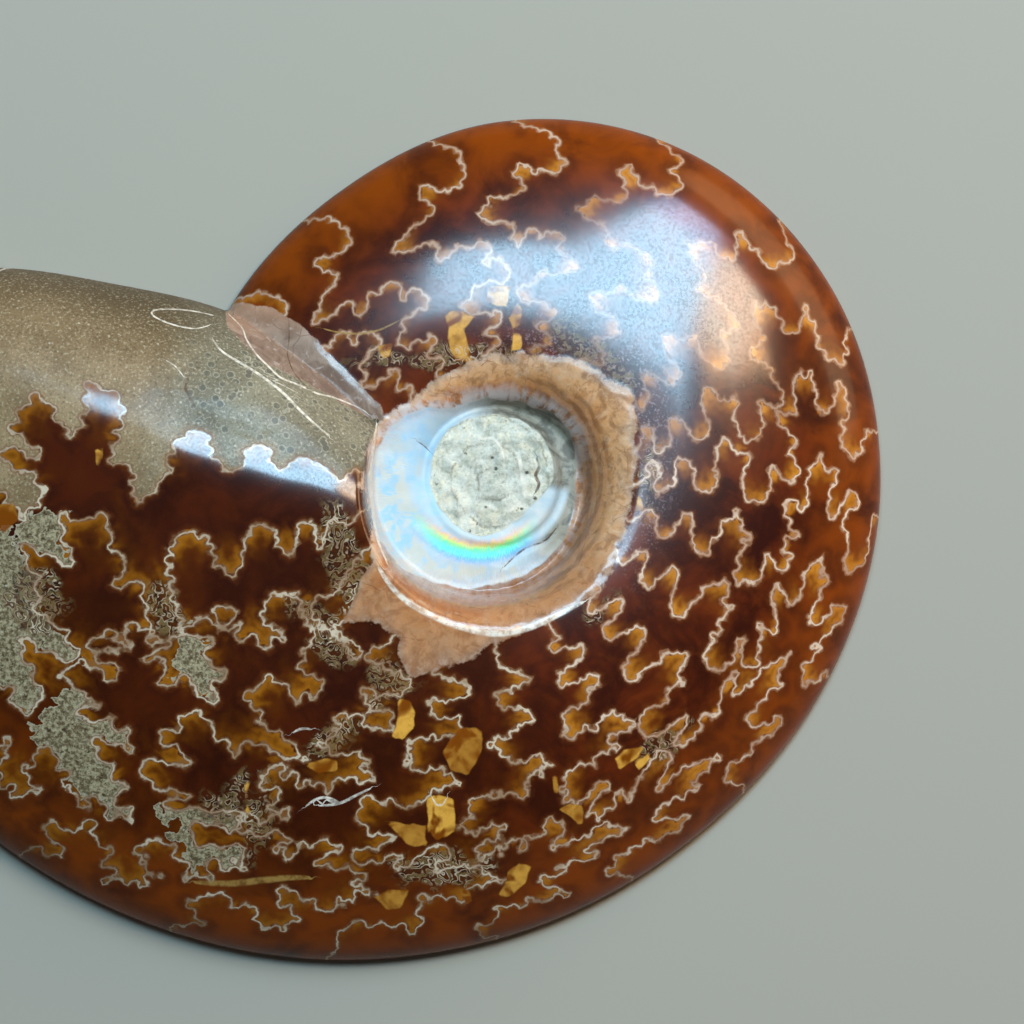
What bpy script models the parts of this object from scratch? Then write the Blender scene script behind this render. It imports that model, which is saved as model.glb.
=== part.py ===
"""Half of an ammonite fossil, parted along the plane of its coil and lying on the cut.

The frame: the origin is the middle of the navel, on the cut face. The cut face is the plane z = 0 and the
domed outside of the shell looks up, +Z. The last chamber opens towards -X. Lengths are in millimetres
here and in metres in the mesh.

The shell is a coil whose tube grows as it turns. Growth is counted in degrees, clockwise seen from above:
0 is where the last turn starts, behind the mouth, and 360 is the mouth itself. Older turns have negative
growth and show only in the navel.
"""
import bmesh
import bpy
import numpy as np

MM = 0.001

# --- driving dimensions ----------------------------------------------------------------------------------

# Where growth is 0, as an angle from +X, counted anticlockwise.
START_ANGLE = 150.0

# Distance from the middle of the navel to the outer edge, every 30 degrees of the last turn.
OUTER_STEP = 30.0
OUTER_RADII = (26.4, 27.2, 29.7, 31.5, 32.1, 32.0, 32.3, 34.1, 38.5, 45.2, 53.3, 62.7, 71.5)

# Distance to the shoulder, the high edge of the navel, and to the seam, where a turn meets the older one,
# every 60 degrees of the last two turns.
NAVEL_STEP = 60.0
SHOULDER_RADII = (3.4, 3.7, 4.2, 4.8, 5.6, 6.8, 9.4, 10.6, 12.6, 12.5, 13.0, 12.2, 11.0)
SEAM_RADII = (2.0, 2.1, 2.3, 2.9, 3.7, 4.5, 5.1, 5.5, 6.3, 7.5, 9.3, 10.2, 9.4)

MOUTH_HEIGHT = 13.4       # half thickness of the tube at the mouth, at its shoulder
THICKNESS_PER_TURN = 2.5  # how many times thicker the tube gets in one turn
RADIUS_PER_TURN = OUTER_RADII[-1] / OUTER_RADII[0]
FLANK_POWER = 1.9         # how the flank falls from shoulder to rim: 2 is an ellipse
WALL_POWER = 2.2          # how the navel wall falls from shoulder to seam

# The mouth: the points of its foot line, from the navel outwards, and the width of its rounded lip.
MOUTH_FOOT = ((-6.0, 1.6), (-10.2, 5.2), (-16.0, 10.4), (-22.6, 14.5), (-31.5, 17.4), (-41.4, 20.1), (-52.0, 21.0),
              (-62.0, 17.5), (-68.0, 8.5), (-71.0, -6.0))
FOOT_SAMPLES = 73
LIP_WIDTH = 13.0
LIP_START = 5.0           # width of the lip where it would reach the middle of the navel
LIP_GAIN = 0.3            # how much wider it gets for each millimetre outwards
LIP_POWER = 2.0
MOUTH_REACH = 16.0        # degrees of growth past 360 that the lip bulges over
LIP_FIRST_GROWTH = 240.0  # younger parts of the last turn than this feel the lip

# Sediment that fills the oldest turns: a low round plug.
PLUG_CENTRE = (-0.4, 0.0)
PLUG_RADIUS = 5.3
PLUG_HEIGHT = 4.1
PLUG_CROWN = 0.25

EDGE_BEVEL = 0.3          # small bevel between the cut face and the outside
CREASE_FILLET = 1.2       # height over which two surfaces blend where they meet in a crease

# --- mesh density ----------------------------------------------------------------------------------------

NAVEL_RADIUS = 13.5       # inside it the rings of the mesh are circles
NAVEL_RINGS = 20
FLANK_RINGS = 22
POINT_SPACING = 1.3      # along a ring
ANGLE_SAMPLES = 2880


# --- the shape as a height over the cut face -------------------------------------------------------------

def smooth_curve(values, step, first, at):
    """Catmull-Rom curve through values that stand step apart, the first of them at first."""
    values = np.asarray(values)
    last = len(values) - 1
    place = np.clip((np.asarray(at) - first) / step, 0.0, last)
    index = np.minimum(place.astype(int), last - 1)
    t = place - index
    before, a, b, after = (values[np.clip(index + k, 0, last)] for k in (-1, 0, 1, 2))
    return 0.5 * (2 * a + (b - before) * t + (2 * before - 5 * a + 4 * b - after) * t**2
                  + (3 * a - before - 3 * b + after) * t**3)


def outer_radius(growth):
    """Outer edge of the coil; an older turn is the same curve, smaller by a fixed ratio."""
    turns_back = np.ceil(np.maximum(-np.asarray(growth) / 360.0, 0.0))
    radius = smooth_curve(np.log(OUTER_RADII), OUTER_STEP, 0.0, growth + 360.0 * turns_back)
    return np.exp(radius) / RADIUS_PER_TURN**turns_back


def shoulder_radius(growth):
    return smooth_curve(SHOULDER_RADII, NAVEL_STEP, -360.0, growth)


def seam_radius(growth):
    return smooth_curve(SEAM_RADII, NAVEL_STEP, -360.0, growth)


def crest_height(growth):
    return MOUTH_HEIGHT * THICKNESS_PER_TURN ** (np.asarray(growth) / 360.0 - 1.0)


def mouth_foot_line():
    """The foot line of the mouth as a smooth row of points."""
    places = np.linspace(0.0, len(MOUTH_FOOT) - 1.0, FOOT_SAMPLES)
    x, y = (smooth_curve(values, 1.0, 0.0, places) for values in zip(*MOUTH_FOOT))
    return list(zip(x, y))


def depth_behind_mouth(x, y):
    """Distance from the foot line of the mouth, positive on the side of the last chamber."""
    nearest = np.full(np.shape(x), np.inf)
    side = np.zeros(np.shape(x))
    line = mouth_foot_line()
    for (ax, ay), (bx, by) in zip(line, line[1:]):
        ex, ey = bx - ax, by - ay
        along = np.clip(((x - ax) * ex + (y - ay) * ey) / (ex**2 + ey**2), 0.0, 1.0)
        dx, dy = x - ax - along * ex, y - ay - along * ey
        distance = np.hypot(dx, dy)
        closer = distance < nearest
        nearest = np.where(closer, distance, nearest)
        side = np.where(closer, np.sign(ex * dy - ey * dx), side)
    return nearest * side


def turn_height(radius, growth, lip):
    """Height of one turn of the tube, with the flank and the navel wall as two parts of one arch."""
    shoulder = shoulder_radius(growth)
    outwards = (radius - shoulder) / (outer_radius(growth) - shoulder)
    inwards = (shoulder - radius) / (shoulder - seam_radius(growth))
    fall = np.where(radius > shoulder, np.abs(outwards)**FLANK_POWER, np.abs(inwards)**WALL_POWER)
    return crest_height(growth) * np.sqrt(np.maximum(1.0 - fall - lip, 0.0))


def plug_height(x, y):
    distance = np.hypot(x - PLUG_CENTRE[0], y - PLUG_CENTRE[1]) / PLUG_RADIUS
    crown = PLUG_HEIGHT + PLUG_CROWN * (1.0 - distance**2)
    edge = np.clip((1.12 - distance) / 0.12, 0.0, 1.0)
    return crown * np.sqrt(1.0 - (1.0 - edge)**2)


def blended_top(a, b):
    """The higher of two surfaces, with a fillet in the crease where they cross over solid ground."""
    width = CREASE_FILLET * np.clip(np.minimum(a, b), 0.0, 1.0)
    near = np.clip(1.0 - np.abs(a - b) / np.maximum(width, 1e-9), 0.0, 1.0)
    return np.maximum(a, b) + 0.25 * width * near**2


def height(x, y):
    """Height of the outside over the cut face: the highest of the turns and the plug at each place."""
    radius = np.hypot(x, y)
    growth = np.mod(START_ANGLE - np.degrees(np.arctan2(y, x)), 360.0)
    depth = depth_behind_mouth(x, y)
    lip_width = np.minimum(LIP_START + LIP_GAIN * radius, LIP_WIDTH)
    lip = np.clip(1.0 - depth / lip_width, 0.0, None)**LIP_POWER
    past_mouth = np.where((growth < MOUTH_REACH) & (depth > 0.0), growth + 360.0, np.nan)
    top = plug_height(x, y)
    for turn in (growth - 720.0, growth - 360.0):
        top = blended_top(top, turn_height(radius, turn, 0.0))
    near_mouth = growth > LIP_FIRST_GROWTH
    last_turn = turn_height(radius, growth, np.where(near_mouth, lip, 0.0))
    last_turn = np.where(near_mouth & (depth <= 0.0), 0.0, last_turn)
    lip_turn = turn_height(radius, np.nan_to_num(past_mouth, nan=360.0), lip)
    lip_turn = np.where(np.isnan(past_mouth), 0.0, lip_turn)
    return blended_top(top, np.maximum(last_turn, lip_turn))


# --- mesh ------------------------------------------------------------------------------------------------

def edge_radius(angles):
    """Distance to the outer edge in each direction: the outermost place that has any height."""
    steps = np.arange(20.0, 76.0, 0.25)
    x = steps[:, None] * np.cos(angles)
    y = steps[:, None] * np.sin(angles)
    solid = height(x, y) > 0.0
    outermost = len(steps) - 1 - np.argmax(solid[::-1], axis=0)
    inside, outside = steps[outermost], steps[outermost] + 0.25
    for _ in range(14):
        middle = 0.5 * (inside + outside)
        is_solid = height(middle * np.cos(angles), middle * np.sin(angles)) > 0.0
        inside = np.where(is_solid, middle, inside)
        outside = np.where(is_solid, outside, middle)
    return inside


def even_ring(angles, radii, spacing):
    """Points at an even spacing along a closed curve given as radius against angle."""
    x, y = radii * np.cos(angles), radii * np.sin(angles)
    steps = [np.diff(values, append=values[0]) for values in (x, y, height(x, y))]
    along = np.concatenate(([0.0], np.cumsum(np.sqrt(sum(step**2 for step in steps)))))
    count = max(8, round(along[-1] / spacing))
    turned = np.interp(np.arange(count) * along[-1] / count, along, np.append(angles, angles[0] + 2 * np.pi))
    return turned, np.interp(turned, angles, radii, period=2 * np.pi)


def zip_rings(inner, inner_angles, outer, outer_angles):
    """Triangles between two closed rings of vertex numbers, always taking the nearer next vertex."""
    faces = []
    i = j = 0
    inner_angles = np.append(inner_angles, inner_angles[0] + 2 * np.pi)
    outer_angles = np.append(outer_angles, outer_angles[0] + 2 * np.pi)
    while i < len(inner) or j < len(outer):
        step_outer = i == len(inner) or (j < len(outer) and outer_angles[j + 1] <= inner_angles[i + 1])
        a, b = inner[i % len(inner)], outer[j % len(outer)]
        if step_outer:
            faces.append((a, b, outer[(j + 1) % len(outer)]))
            j += 1
        else:
            faces.append((a, b, inner[(i + 1) % len(inner)]))
            i += 1
    return faces


def ammonite_mesh():
    angles = np.linspace(-np.pi, np.pi, ANGLE_SAMPLES, endpoint=False)
    edge = edge_radius(angles)
    rings = [np.full_like(angles, NAVEL_RADIUS * k / NAVEL_RINGS) for k in range(1, NAVEL_RINGS + 1)]
    for k in range(1, FLANK_RINGS + 1):
        share = np.sin(0.5 * np.pi * k / FLANK_RINGS)
        rings.append(NAVEL_RADIUS + (edge - NAVEL_RADIUS) * share)

    vertices = [(0.0, 0.0, float(height(np.array(0.0), np.array(0.0))) + EDGE_BEVEL)]
    faces = []
    ring_before = None
    for number, radii in enumerate(rings):
        turned, radius = even_ring(angles, radii, POINT_SPACING)
        x, y = radius * np.cos(turned), radius * np.sin(turned)
        z = height(x, y) + EDGE_BEVEL
        if number == len(rings) - 1:
            z = np.full_like(z, EDGE_BEVEL)
        ring = list(range(len(vertices), len(vertices) + len(x)))
        vertices.extend(zip(x, y, z))
        if ring_before is None:
            faces.extend((0, a, b) for a, b in zip(ring, ring[1:] + ring[:1]))
        else:
            faces.extend(zip_rings(*ring_before, ring, turned))
        ring_before = (ring, turned)

    rim = ring_before[0]
    tangent_x = np.roll(x, -1) - np.roll(x, 1)
    tangent_y = np.roll(y, -1) - np.roll(y, 1)
    length = np.hypot(tangent_x, tangent_y)
    foot_x = x - EDGE_BEVEL * tangent_y / length
    foot_y = y + EDGE_BEVEL * tangent_x / length
    foot = list(range(len(vertices), len(vertices) + len(rim)))
    vertices.extend((fx, fy, 0.0) for fx, fy in zip(foot_x, foot_y))
    for a, b, c, d in zip(rim, rim[1:] + rim[:1], foot[1:] + foot[:1], foot):
        faces.append((d, c, b))
        faces.append((d, b, a))
    faces.append(tuple(reversed(foot)))

    mesh = bpy.data.meshes.new("ammonite_half")
    mesh.from_pydata([tuple(MM * value for value in vertex) for vertex in vertices], [], faces)
    shape = bmesh.new()
    shape.from_mesh(mesh)
    bmesh.ops.triangulate(shape, faces=[face for face in shape.faces if len(face.verts) > 4])
    bmesh.ops.recalc_face_normals(shape, faces=shape.faces)
    shape.to_mesh(mesh)
    shape.free()
    return mesh


def polished_stone():
    material = bpy.data.materials.new("polished_calcite")
    material.use_nodes = True
    shader = material.node_tree.nodes["Principled BSDF"]
    shader.inputs["Base Color"].default_value = (0.12, 0.035, 0.015, 1.0)
    shader.inputs["Roughness"].default_value = 0.15
    shader.inputs["Metallic"].default_value = 0.0
    return material


def main():
    for old in list(bpy.data.objects):
        bpy.data.objects.remove(old)
    mesh = ammonite_mesh()
    mesh.shade_smooth()
    mesh.set_sharp_from_angle(angle=np.radians(50.0))
    mesh.materials.append(polished_stone())
    fossil = bpy.data.objects.new("ammonite_half", mesh)
    bpy.context.collection.objects.link(fossil)


main()
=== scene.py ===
# %% [markdown]
# # Half of a polished ammonite fossil
#
# The shell of an ammonite filled with calcite and sand long ago. A polisher ground the outer shell
# away, so that the frilled seams between its chambers show, and the fossil was parted along its middle.
# The half lies on its cut face. This file takes the plain solid as a fixed frame and gives it the looks:
# one dense mesh of the same shape, whose points know how far they are from each seam, from the shell that
# is left around the navel and from the stone in the last chamber. One material paints by those distances.

import math

import bpy
import numpy as np
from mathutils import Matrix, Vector
from mathutils.kdtree import KDTree
from mathutils.noise import fractal


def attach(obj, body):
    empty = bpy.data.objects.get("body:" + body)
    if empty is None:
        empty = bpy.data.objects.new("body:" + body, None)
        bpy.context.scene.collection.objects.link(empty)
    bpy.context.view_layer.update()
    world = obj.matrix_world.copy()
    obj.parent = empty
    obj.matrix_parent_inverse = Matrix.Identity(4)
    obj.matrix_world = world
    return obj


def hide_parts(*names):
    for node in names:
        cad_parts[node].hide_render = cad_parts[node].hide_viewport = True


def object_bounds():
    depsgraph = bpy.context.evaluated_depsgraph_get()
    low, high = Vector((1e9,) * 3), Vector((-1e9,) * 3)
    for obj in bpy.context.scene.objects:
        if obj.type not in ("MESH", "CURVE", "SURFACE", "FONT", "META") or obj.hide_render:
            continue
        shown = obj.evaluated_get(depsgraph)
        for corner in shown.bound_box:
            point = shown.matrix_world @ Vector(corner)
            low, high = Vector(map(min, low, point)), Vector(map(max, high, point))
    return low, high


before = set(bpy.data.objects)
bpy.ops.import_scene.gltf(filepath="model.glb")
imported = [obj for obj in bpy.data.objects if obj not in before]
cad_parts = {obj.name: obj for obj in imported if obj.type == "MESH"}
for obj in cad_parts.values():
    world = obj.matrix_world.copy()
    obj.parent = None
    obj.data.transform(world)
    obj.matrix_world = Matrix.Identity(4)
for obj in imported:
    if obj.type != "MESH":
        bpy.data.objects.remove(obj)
solid_box = [list(corner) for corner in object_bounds()]
LOW, HIGH = (Vector(corner) for corner in solid_box)
MM = 0.001
print("the solid measures", [round((b - a) / MM, 1) for a, b in zip(LOW, HIGH)], "mm")

# %% [markdown]
# ## Floor
#
# The fossil lies on a plain pale table. One large flat square is enough for it, because its edge stays out
# of view. It belongs to the stage and not to the part.

# %% Floor
FLOOR_COLOUR = (0.33, 0.303, 0.243)
FLOOR_SIZE = 3.0


def plain_floor():
    bpy.ops.mesh.primitive_plane_add(size=FLOOR_SIZE, location=(0.0, 0.0, LOW.z - 0.0002))
    floor = bpy.context.object
    floor.name = "floor"
    material = bpy.data.materials.new("floor_paint")
    material.use_nodes = True
    shader = material.node_tree.nodes["Principled BSDF"]
    shader.inputs["Base Color"].default_value = (*FLOOR_COLOUR, 1.0)
    shader.inputs["Roughness"].default_value = 0.8
    floor.data.materials.append(material)
    return floor


plain_floor()
print("the floor is", FLOOR_SIZE, "m wide")

# %% [markdown]
# ## Light
#
# A polished dome mirrors whatever stands around it, so the lamps are made as large as the window and the
# warm walls of a room. A whole room painted on the sky would do it too, but lamps can be moved one by one.
# The window's lamps stand up and to the right, and its sill mirrors in the hollow beside the mouth. The sky
# is dim overhead: what stands right above a dark polished stone lies over it like a veil.

# %% Light
LIGHT_HEIGHT = 0.50
PANE_COLOUR = (0.46, 0.76, 1.0)
CARD_COLOUR = (1.0, 0.80, 0.60)
ORANGE_COLOUR = (1.0, 0.62, 0.34)
WALL_COLOUR = (1.0, 0.70, 0.42)
# Lamps over the table: glow, colour, middle, length, width and turn. The glow is in watts over pi and
# square metre, which is how bright the lamp's image in the polish starts out.
LAMPS = {
    "window": (21.0, PANE_COLOUR, (0.115, 0.26), 0.31, 0.13, 52.0),
    "window_top": (17.0, (0.52, 0.68, 1.0), (0.255, 0.445), 0.19, 0.13, 52.0),
    "window_sill": (20.0, PANE_COLOUR, (-0.03, 0.155), 0.19, 0.12, 8.0),
    "warm_card": (16.0, CARD_COLOUR, (0.255, 0.26), 0.26, 0.11, 40.0),
    "orange_card": (12.0, ORANGE_COLOUR, (0.22, 0.175), 0.20, 0.06, 14.0),
}
WALL_GLOW = 3.8
WALL_PLACE = (0.85, 0.62, 0.32)
WALL_SIZE = (1.1, 0.5)
SKY_COLOUR = (1.0, 0.92, 0.90)
SKY_ABOVE, SKY_HORIZON = 0.03, 0.24


def lamp(name, glow, tint, size):
    light = bpy.data.lights.new(name, "AREA")
    light.shape = "RECTANGLE"
    light.size, light.size_y = size
    light.energy = glow * math.pi * size[0] * size[1]
    light.color = tint
    lit = bpy.data.objects.new(name, light)
    bpy.context.collection.objects.link(lit)
    return lit


def sky():
    """Dim overhead and lighter towards the horizon, so that the dark calcite isn't veiled from above."""
    world = bpy.data.worlds.new("sky")
    bpy.context.scene.world = world
    world.use_nodes = True
    tree = world.node_tree
    background = tree.nodes["Background"]
    background.inputs["Color"].default_value = (*SKY_COLOUR, 1.0)
    direction = tree.nodes.new("ShaderNodeTexCoord")
    height_up = tree.nodes.new("ShaderNodeSeparateXYZ")
    strength = tree.nodes.new("ShaderNodeMapRange")
    tree.links.new(direction.outputs["Generated"], height_up.inputs[0])
    tree.links.new(height_up.outputs["Z"], strength.inputs["Value"])
    strength.inputs["From Max"].default_value = 0.75
    strength.inputs["To Min"].default_value = SKY_HORIZON
    strength.inputs["To Max"].default_value = SKY_ABOVE
    tree.links.new(strength.outputs["Result"], background.inputs["Strength"])


for name, (glow, tint, middle, length, width, turn) in LAMPS.items():
    over_table = lamp(name, glow, tint, (length, width))
    over_table.location = (*middle, LIGHT_HEIGHT)
    over_table.rotation_euler.z = math.radians(turn)
warm_wall = lamp("warm_wall", WALL_GLOW, WALL_COLOUR, WALL_SIZE)
warm_wall.location = WALL_PLACE
warm_wall.rotation_euler = (-Vector(WALL_PLACE)).to_track_quat("-Z", "Y").to_euler()
sky()
print("lamps:", [lit.name for lit in bpy.data.lights])

# %% [markdown]
# ## Camera
#
# The camera looks straight down from far away through a long lens. The high middle of the dome and its low
# rim are then drawn at nearly one scale, so lengths can be compared all over the fossil.

# %% Camera
VIEW_WIDTH = 85.333 * MM          # how much of the fossil's plane is in view
VIEW_MIDDLE = (1.25 * MM, -2.83 * MM, 1.5 * MM)
CAMERA_HEIGHT = 1.6


def camera_above():
    lens = bpy.data.cameras.new("camera")
    lens.lens = lens.sensor_width * CAMERA_HEIGHT / VIEW_WIDTH
    camera = bpy.data.objects.new("camera", lens)
    camera.location = (VIEW_MIDDLE[0], VIEW_MIDDLE[1], VIEW_MIDDLE[2] + CAMERA_HEIGHT)
    bpy.context.collection.objects.link(camera)
    bpy.context.scene.camera = camera
    return camera


camera_above()
bpy.context.scene.view_settings.view_transform = "Standard"
print("the view is", round(VIEW_WIDTH / MM, 1), "mm wide, seen from", CAMERA_HEIGHT, "m above")

# %% [markdown]
# ## The coil
#
# An ammonite grows as a coiled tube. Growth is counted in degrees, clockwise seen from above, and is 360
# at the mouth. Each radius below is a short list of values at even steps of growth with a smooth curve
# through them. These are the numbers of the solid, so the dense surface falls on it.

# %% Radii and heights of the tube, in millimetres
START_ANGLE = 150.0
OUTER_STEP = 30.0
OUTER_RADII = (26.4, 27.2, 29.7, 31.5, 32.1, 32.0, 32.3, 34.1, 38.5, 45.2, 53.3, 62.7, 71.5)
NAVEL_STEP = 60.0
SHOULDER_RADII = (3.4, 3.7, 4.2, 4.8, 5.6, 6.8, 9.4, 10.6, 12.6, 12.5, 13.0, 12.2, 11.0)
SEAM_RADII = (2.0, 2.1, 2.3, 2.9, 3.7, 4.5, 5.1, 5.5, 6.3, 7.5, 9.3, 10.2, 9.4)
MOUTH_HEIGHT = 13.4
THICKNESS_PER_TURN = 2.5
RADIUS_PER_TURN = OUTER_RADII[-1] / OUTER_RADII[0]
FLANK_POWER = 1.9
WALL_POWER = 2.2
EDGE_BEVEL = 0.3
CREASE_FILLET = 1.2


def smooth_curve(values, step, first, at):
    """Catmull-Rom curve through values that stand step apart, the first of them at first."""
    values = np.asarray(values, float)
    last = len(values) - 1
    place = np.clip((np.asarray(at, float) - first) / step, 0.0, last)
    index = np.minimum(place.astype(int), last - 1)
    t = place - index
    before, a, b, after = (values[np.clip(index + k, 0, last)] for k in (-1, 0, 1, 2))
    return 0.5 * (2 * a + (b - before) * t + (2 * before - 5 * a + 4 * b - after) * t**2
                  + (3 * a - before - 3 * b + after) * t**3)


def run_along(*line):
    """How far along a line each of its points is."""
    steps = [np.diff(values)**2 for values in line]
    return np.concatenate(([0.0], np.cumsum(np.sqrt(sum(steps)))))


def past_piece(x, y, start, way):
    """From the nearest place on a straight piece to x and y, and how far along the piece that place is."""
    dx, dy = x - start[0], y - start[1]
    along = np.clip((dx * way[0] + dy * way[1]) / (way[0]**2 + way[1]**2), 0.0, 1.0)
    return dx - along * way[0], dy - along * way[1], along


def outer_radius(growth):
    turns_back = np.ceil(np.maximum(-np.asarray(growth) / 360.0, 0.0))
    radius = smooth_curve(np.log(OUTER_RADII), OUTER_STEP, 0.0, growth + 360.0 * turns_back)
    return np.exp(radius) / RADIUS_PER_TURN**turns_back


def shoulder_radius(growth):
    return smooth_curve(SHOULDER_RADII, NAVEL_STEP, -360.0, growth)


def seam_radius(growth):
    return smooth_curve(SEAM_RADII, NAVEL_STEP, -360.0, growth)


def crest_height(growth):
    return MOUTH_HEIGHT * THICKNESS_PER_TURN ** (np.asarray(growth) / 360.0 - 1.0)


def turn_height(radius, growth, lip):
    shoulder = shoulder_radius(growth)
    outwards = (radius - shoulder) / (outer_radius(growth) - shoulder)
    inwards = (shoulder - radius) / (shoulder - seam_radius(growth))
    fall = np.where(radius > shoulder, np.abs(outwards)**FLANK_POWER, np.abs(inwards)**WALL_POWER)
    return crest_height(growth) * np.sqrt(np.maximum(1.0 - fall - lip, 0.0))


print("the tube is", round(float(crest_height(360.0)), 1), "mm high at the mouth and",
      round(float(crest_height(0.0)), 1), "mm one turn earlier")

# %% [markdown]
# The last chamber ends in a mouth, and the sand in it in a rounded lip that rides over the older turn. It
# could be a lump of its own, but then it would have a joint. Here the tube simply loses height close to a
# curved line, the foot of the mouth.

# %% The mouth and its rounded lip
MOUTH_FOOT = ((-6.0, 1.6), (-10.2, 5.2), (-16.0, 10.4), (-22.6, 14.5), (-31.5, 17.4), (-41.4, 20.1),
              (-52.0, 21.0), (-62.0, 17.5), (-68.0, 8.5), (-71.0, -6.0))
FOOT_SAMPLES = 73
LIP_WIDTH = 13.0
LIP_START = 5.0
LIP_GAIN = 0.3
LIP_POWER = 2.0
MOUTH_REACH = 16.0
LIP_FIRST_GROWTH = 240.0


def mouth_foot_line():
    places = np.linspace(0.0, len(MOUTH_FOOT) - 1.0, FOOT_SAMPLES)
    x, y = (smooth_curve(values, 1.0, 0.0, places) for values in zip(*MOUTH_FOOT))
    return list(zip(x, y))


def depth_behind_mouth(x, y):
    """Distance from the foot line of the mouth, positive on the side of the last chamber."""
    nearest = np.full(np.shape(x), np.inf)
    side = np.zeros(np.shape(x))
    line = mouth_foot_line()
    for (ax, ay), (bx, by) in zip(line, line[1:]):
        ex, ey = bx - ax, by - ay
        dx, dy, _ = past_piece(x, y, (ax, ay), (ex, ey))
        distance = np.hypot(dx, dy)
        closer = distance < nearest
        nearest = np.where(closer, distance, nearest)
        side = np.where(closer, np.sign(ex * dy - ey * dx), side)
    return nearest * side


print("the foot of the mouth runs from", MOUTH_FOOT[0], "to", MOUTH_FOOT[-1])

# %% [markdown]
# Seen from above, every place on the outside has one height over the cut face. Of the turns and the plug
# the highest one shows, with a fillet in the crease between two of them. Tubes joined with boolean
# modifiers would leave the creases sharp and the triangles uneven.

# %% The whole outside as a height over the cut face
PLUG_CENTRE = (-0.4, 0.0)
PLUG_RADIUS = 5.3
PLUG_HEIGHT = 4.1
PLUG_CROWN = 0.25


def plug_height(x, y):
    distance = np.hypot(x - PLUG_CENTRE[0], y - PLUG_CENTRE[1]) / PLUG_RADIUS
    crown = PLUG_HEIGHT + PLUG_CROWN * (1.0 - distance**2)
    edge = np.clip((1.12 - distance) / 0.12, 0.0, 1.0)
    return crown * np.sqrt(1.0 - (1.0 - edge)**2)


def blended_top(a, b):
    """The higher of two surfaces, with a fillet in the crease where they cross over solid ground."""
    width = CREASE_FILLET * np.clip(np.minimum(a, b), 0.0, 1.0)
    near = np.clip(1.0 - np.abs(a - b) / np.maximum(width, 1e-9), 0.0, 1.0)
    return np.maximum(a, b) + 0.25 * width * near**2


def growth_at(x, y):
    return np.mod(START_ANGLE - np.degrees(np.arctan2(y, x)), 360.0)


def height(x, y):
    radius = np.hypot(x, y)
    growth = growth_at(x, y)
    depth = depth_behind_mouth(x, y)
    lip_width = np.minimum(LIP_START + LIP_GAIN * radius, LIP_WIDTH)
    lip = np.clip(1.0 - depth / lip_width, 0.0, None)**LIP_POWER
    past_mouth = np.where((growth < MOUTH_REACH) & (depth > 0.0), growth + 360.0, np.nan)
    top = plug_height(x, y)
    for turn in (growth - 720.0, growth - 360.0):
        top = blended_top(top, turn_height(radius, turn, 0.0))
    near_mouth = growth > LIP_FIRST_GROWTH
    last_turn = turn_height(radius, growth, np.where(near_mouth, lip, 0.0))
    last_turn = np.where(near_mouth & (depth <= 0.0), 0.0, last_turn)
    lip_turn = turn_height(radius, np.nan_to_num(past_mouth, nan=360.0), lip)
    lip_turn = np.where(np.isnan(past_mouth), 0.0, lip_turn)
    return blended_top(top, np.maximum(last_turn, lip_turn))


print("the middle of the plug is", round(float(height(*PLUG_CENTRE)), 1), "mm high")

# %% [markdown]
# ## The dense mesh
#
# Rings of points run around the navel and out to the rim, each with as many points as its length asks for,
# and a zip of triangles joins one ring to the next. That keeps the triangles even from the tight navel to
# the wide mouth. A grid of quads would be crowded in the middle and coarse outside.

# %% Rings
NAVEL_RADIUS = 13.5
NAVEL_RINGS = 66
FLANK_RINGS = 114
POINT_SPACING = 0.275
ANGLE_SAMPLES = 5760
FLANK_ASPECT = 0.33        # height of the flank's arch over its width, for an even spread of rings
SEARCH_FROM, SEARCH_TO, SEARCH_STEP = 20.0, 76.0, 0.5      # where the outer edge is looked for


def edge_radius(angles):
    """Distance to the outer edge in each direction: the outermost place that has any height."""
    steps = np.arange(SEARCH_FROM, SEARCH_TO, SEARCH_STEP)
    solid = height(steps[:, None] * np.cos(angles), steps[:, None] * np.sin(angles)) > 0.0
    outermost = len(steps) - 1 - np.argmax(solid[::-1], axis=0)
    inside, outside = steps[outermost], steps[outermost] + SEARCH_STEP
    for _ in range(15):
        middle = 0.5 * (inside + outside)
        is_solid = height(middle * np.cos(angles), middle * np.sin(angles)) > 0.0
        inside = np.where(is_solid, middle, inside)
        outside = np.where(is_solid, outside, middle)
    return inside


def arch_shares(count):
    """Shares of the way from shoulder to rim that are evenly spaced along the flank's arch."""
    turn = np.linspace(0.0, 0.5 * np.pi, 600)
    run = run_along(np.sin(turn), FLANK_ASPECT * np.cos(turn))
    return np.sin(np.interp(np.arange(1, count + 1) / count * run[-1], run, turn))


def even_ring(angles, radii, spacing):
    closed, all_round = np.append(angles, angles[0] + 2 * np.pi), np.append(radii, radii[0])
    along = run_along(all_round * np.cos(closed), all_round * np.sin(closed))
    count = max(8, round(along[-1] / spacing))
    turned = np.interp(np.arange(count) * along[-1] / count, along, closed)
    return turned, np.interp(turned, angles, radii, period=2 * np.pi)


def zip_rings(inner, inner_angles, outer, outer_angles):
    """Triangles between two closed rings of vertex numbers, always taking the nearer next vertex."""
    faces = []
    i = j = 0
    inner_angles = np.append(inner_angles, inner_angles[0] + 2 * np.pi)
    outer_angles = np.append(outer_angles, outer_angles[0] + 2 * np.pi)
    while i < len(inner) or j < len(outer):
        step_outer = i == len(inner) or (j < len(outer) and outer_angles[j + 1] <= inner_angles[i + 1])
        a, b = inner[i % len(inner)], outer[j % len(outer)]
        if step_outer:
            faces.append((a, b, outer[(j + 1) % len(outer)]))
            j += 1
        else:
            faces.append((a, b, inner[(i + 1) % len(inner)]))
            i += 1
    return faces


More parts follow.
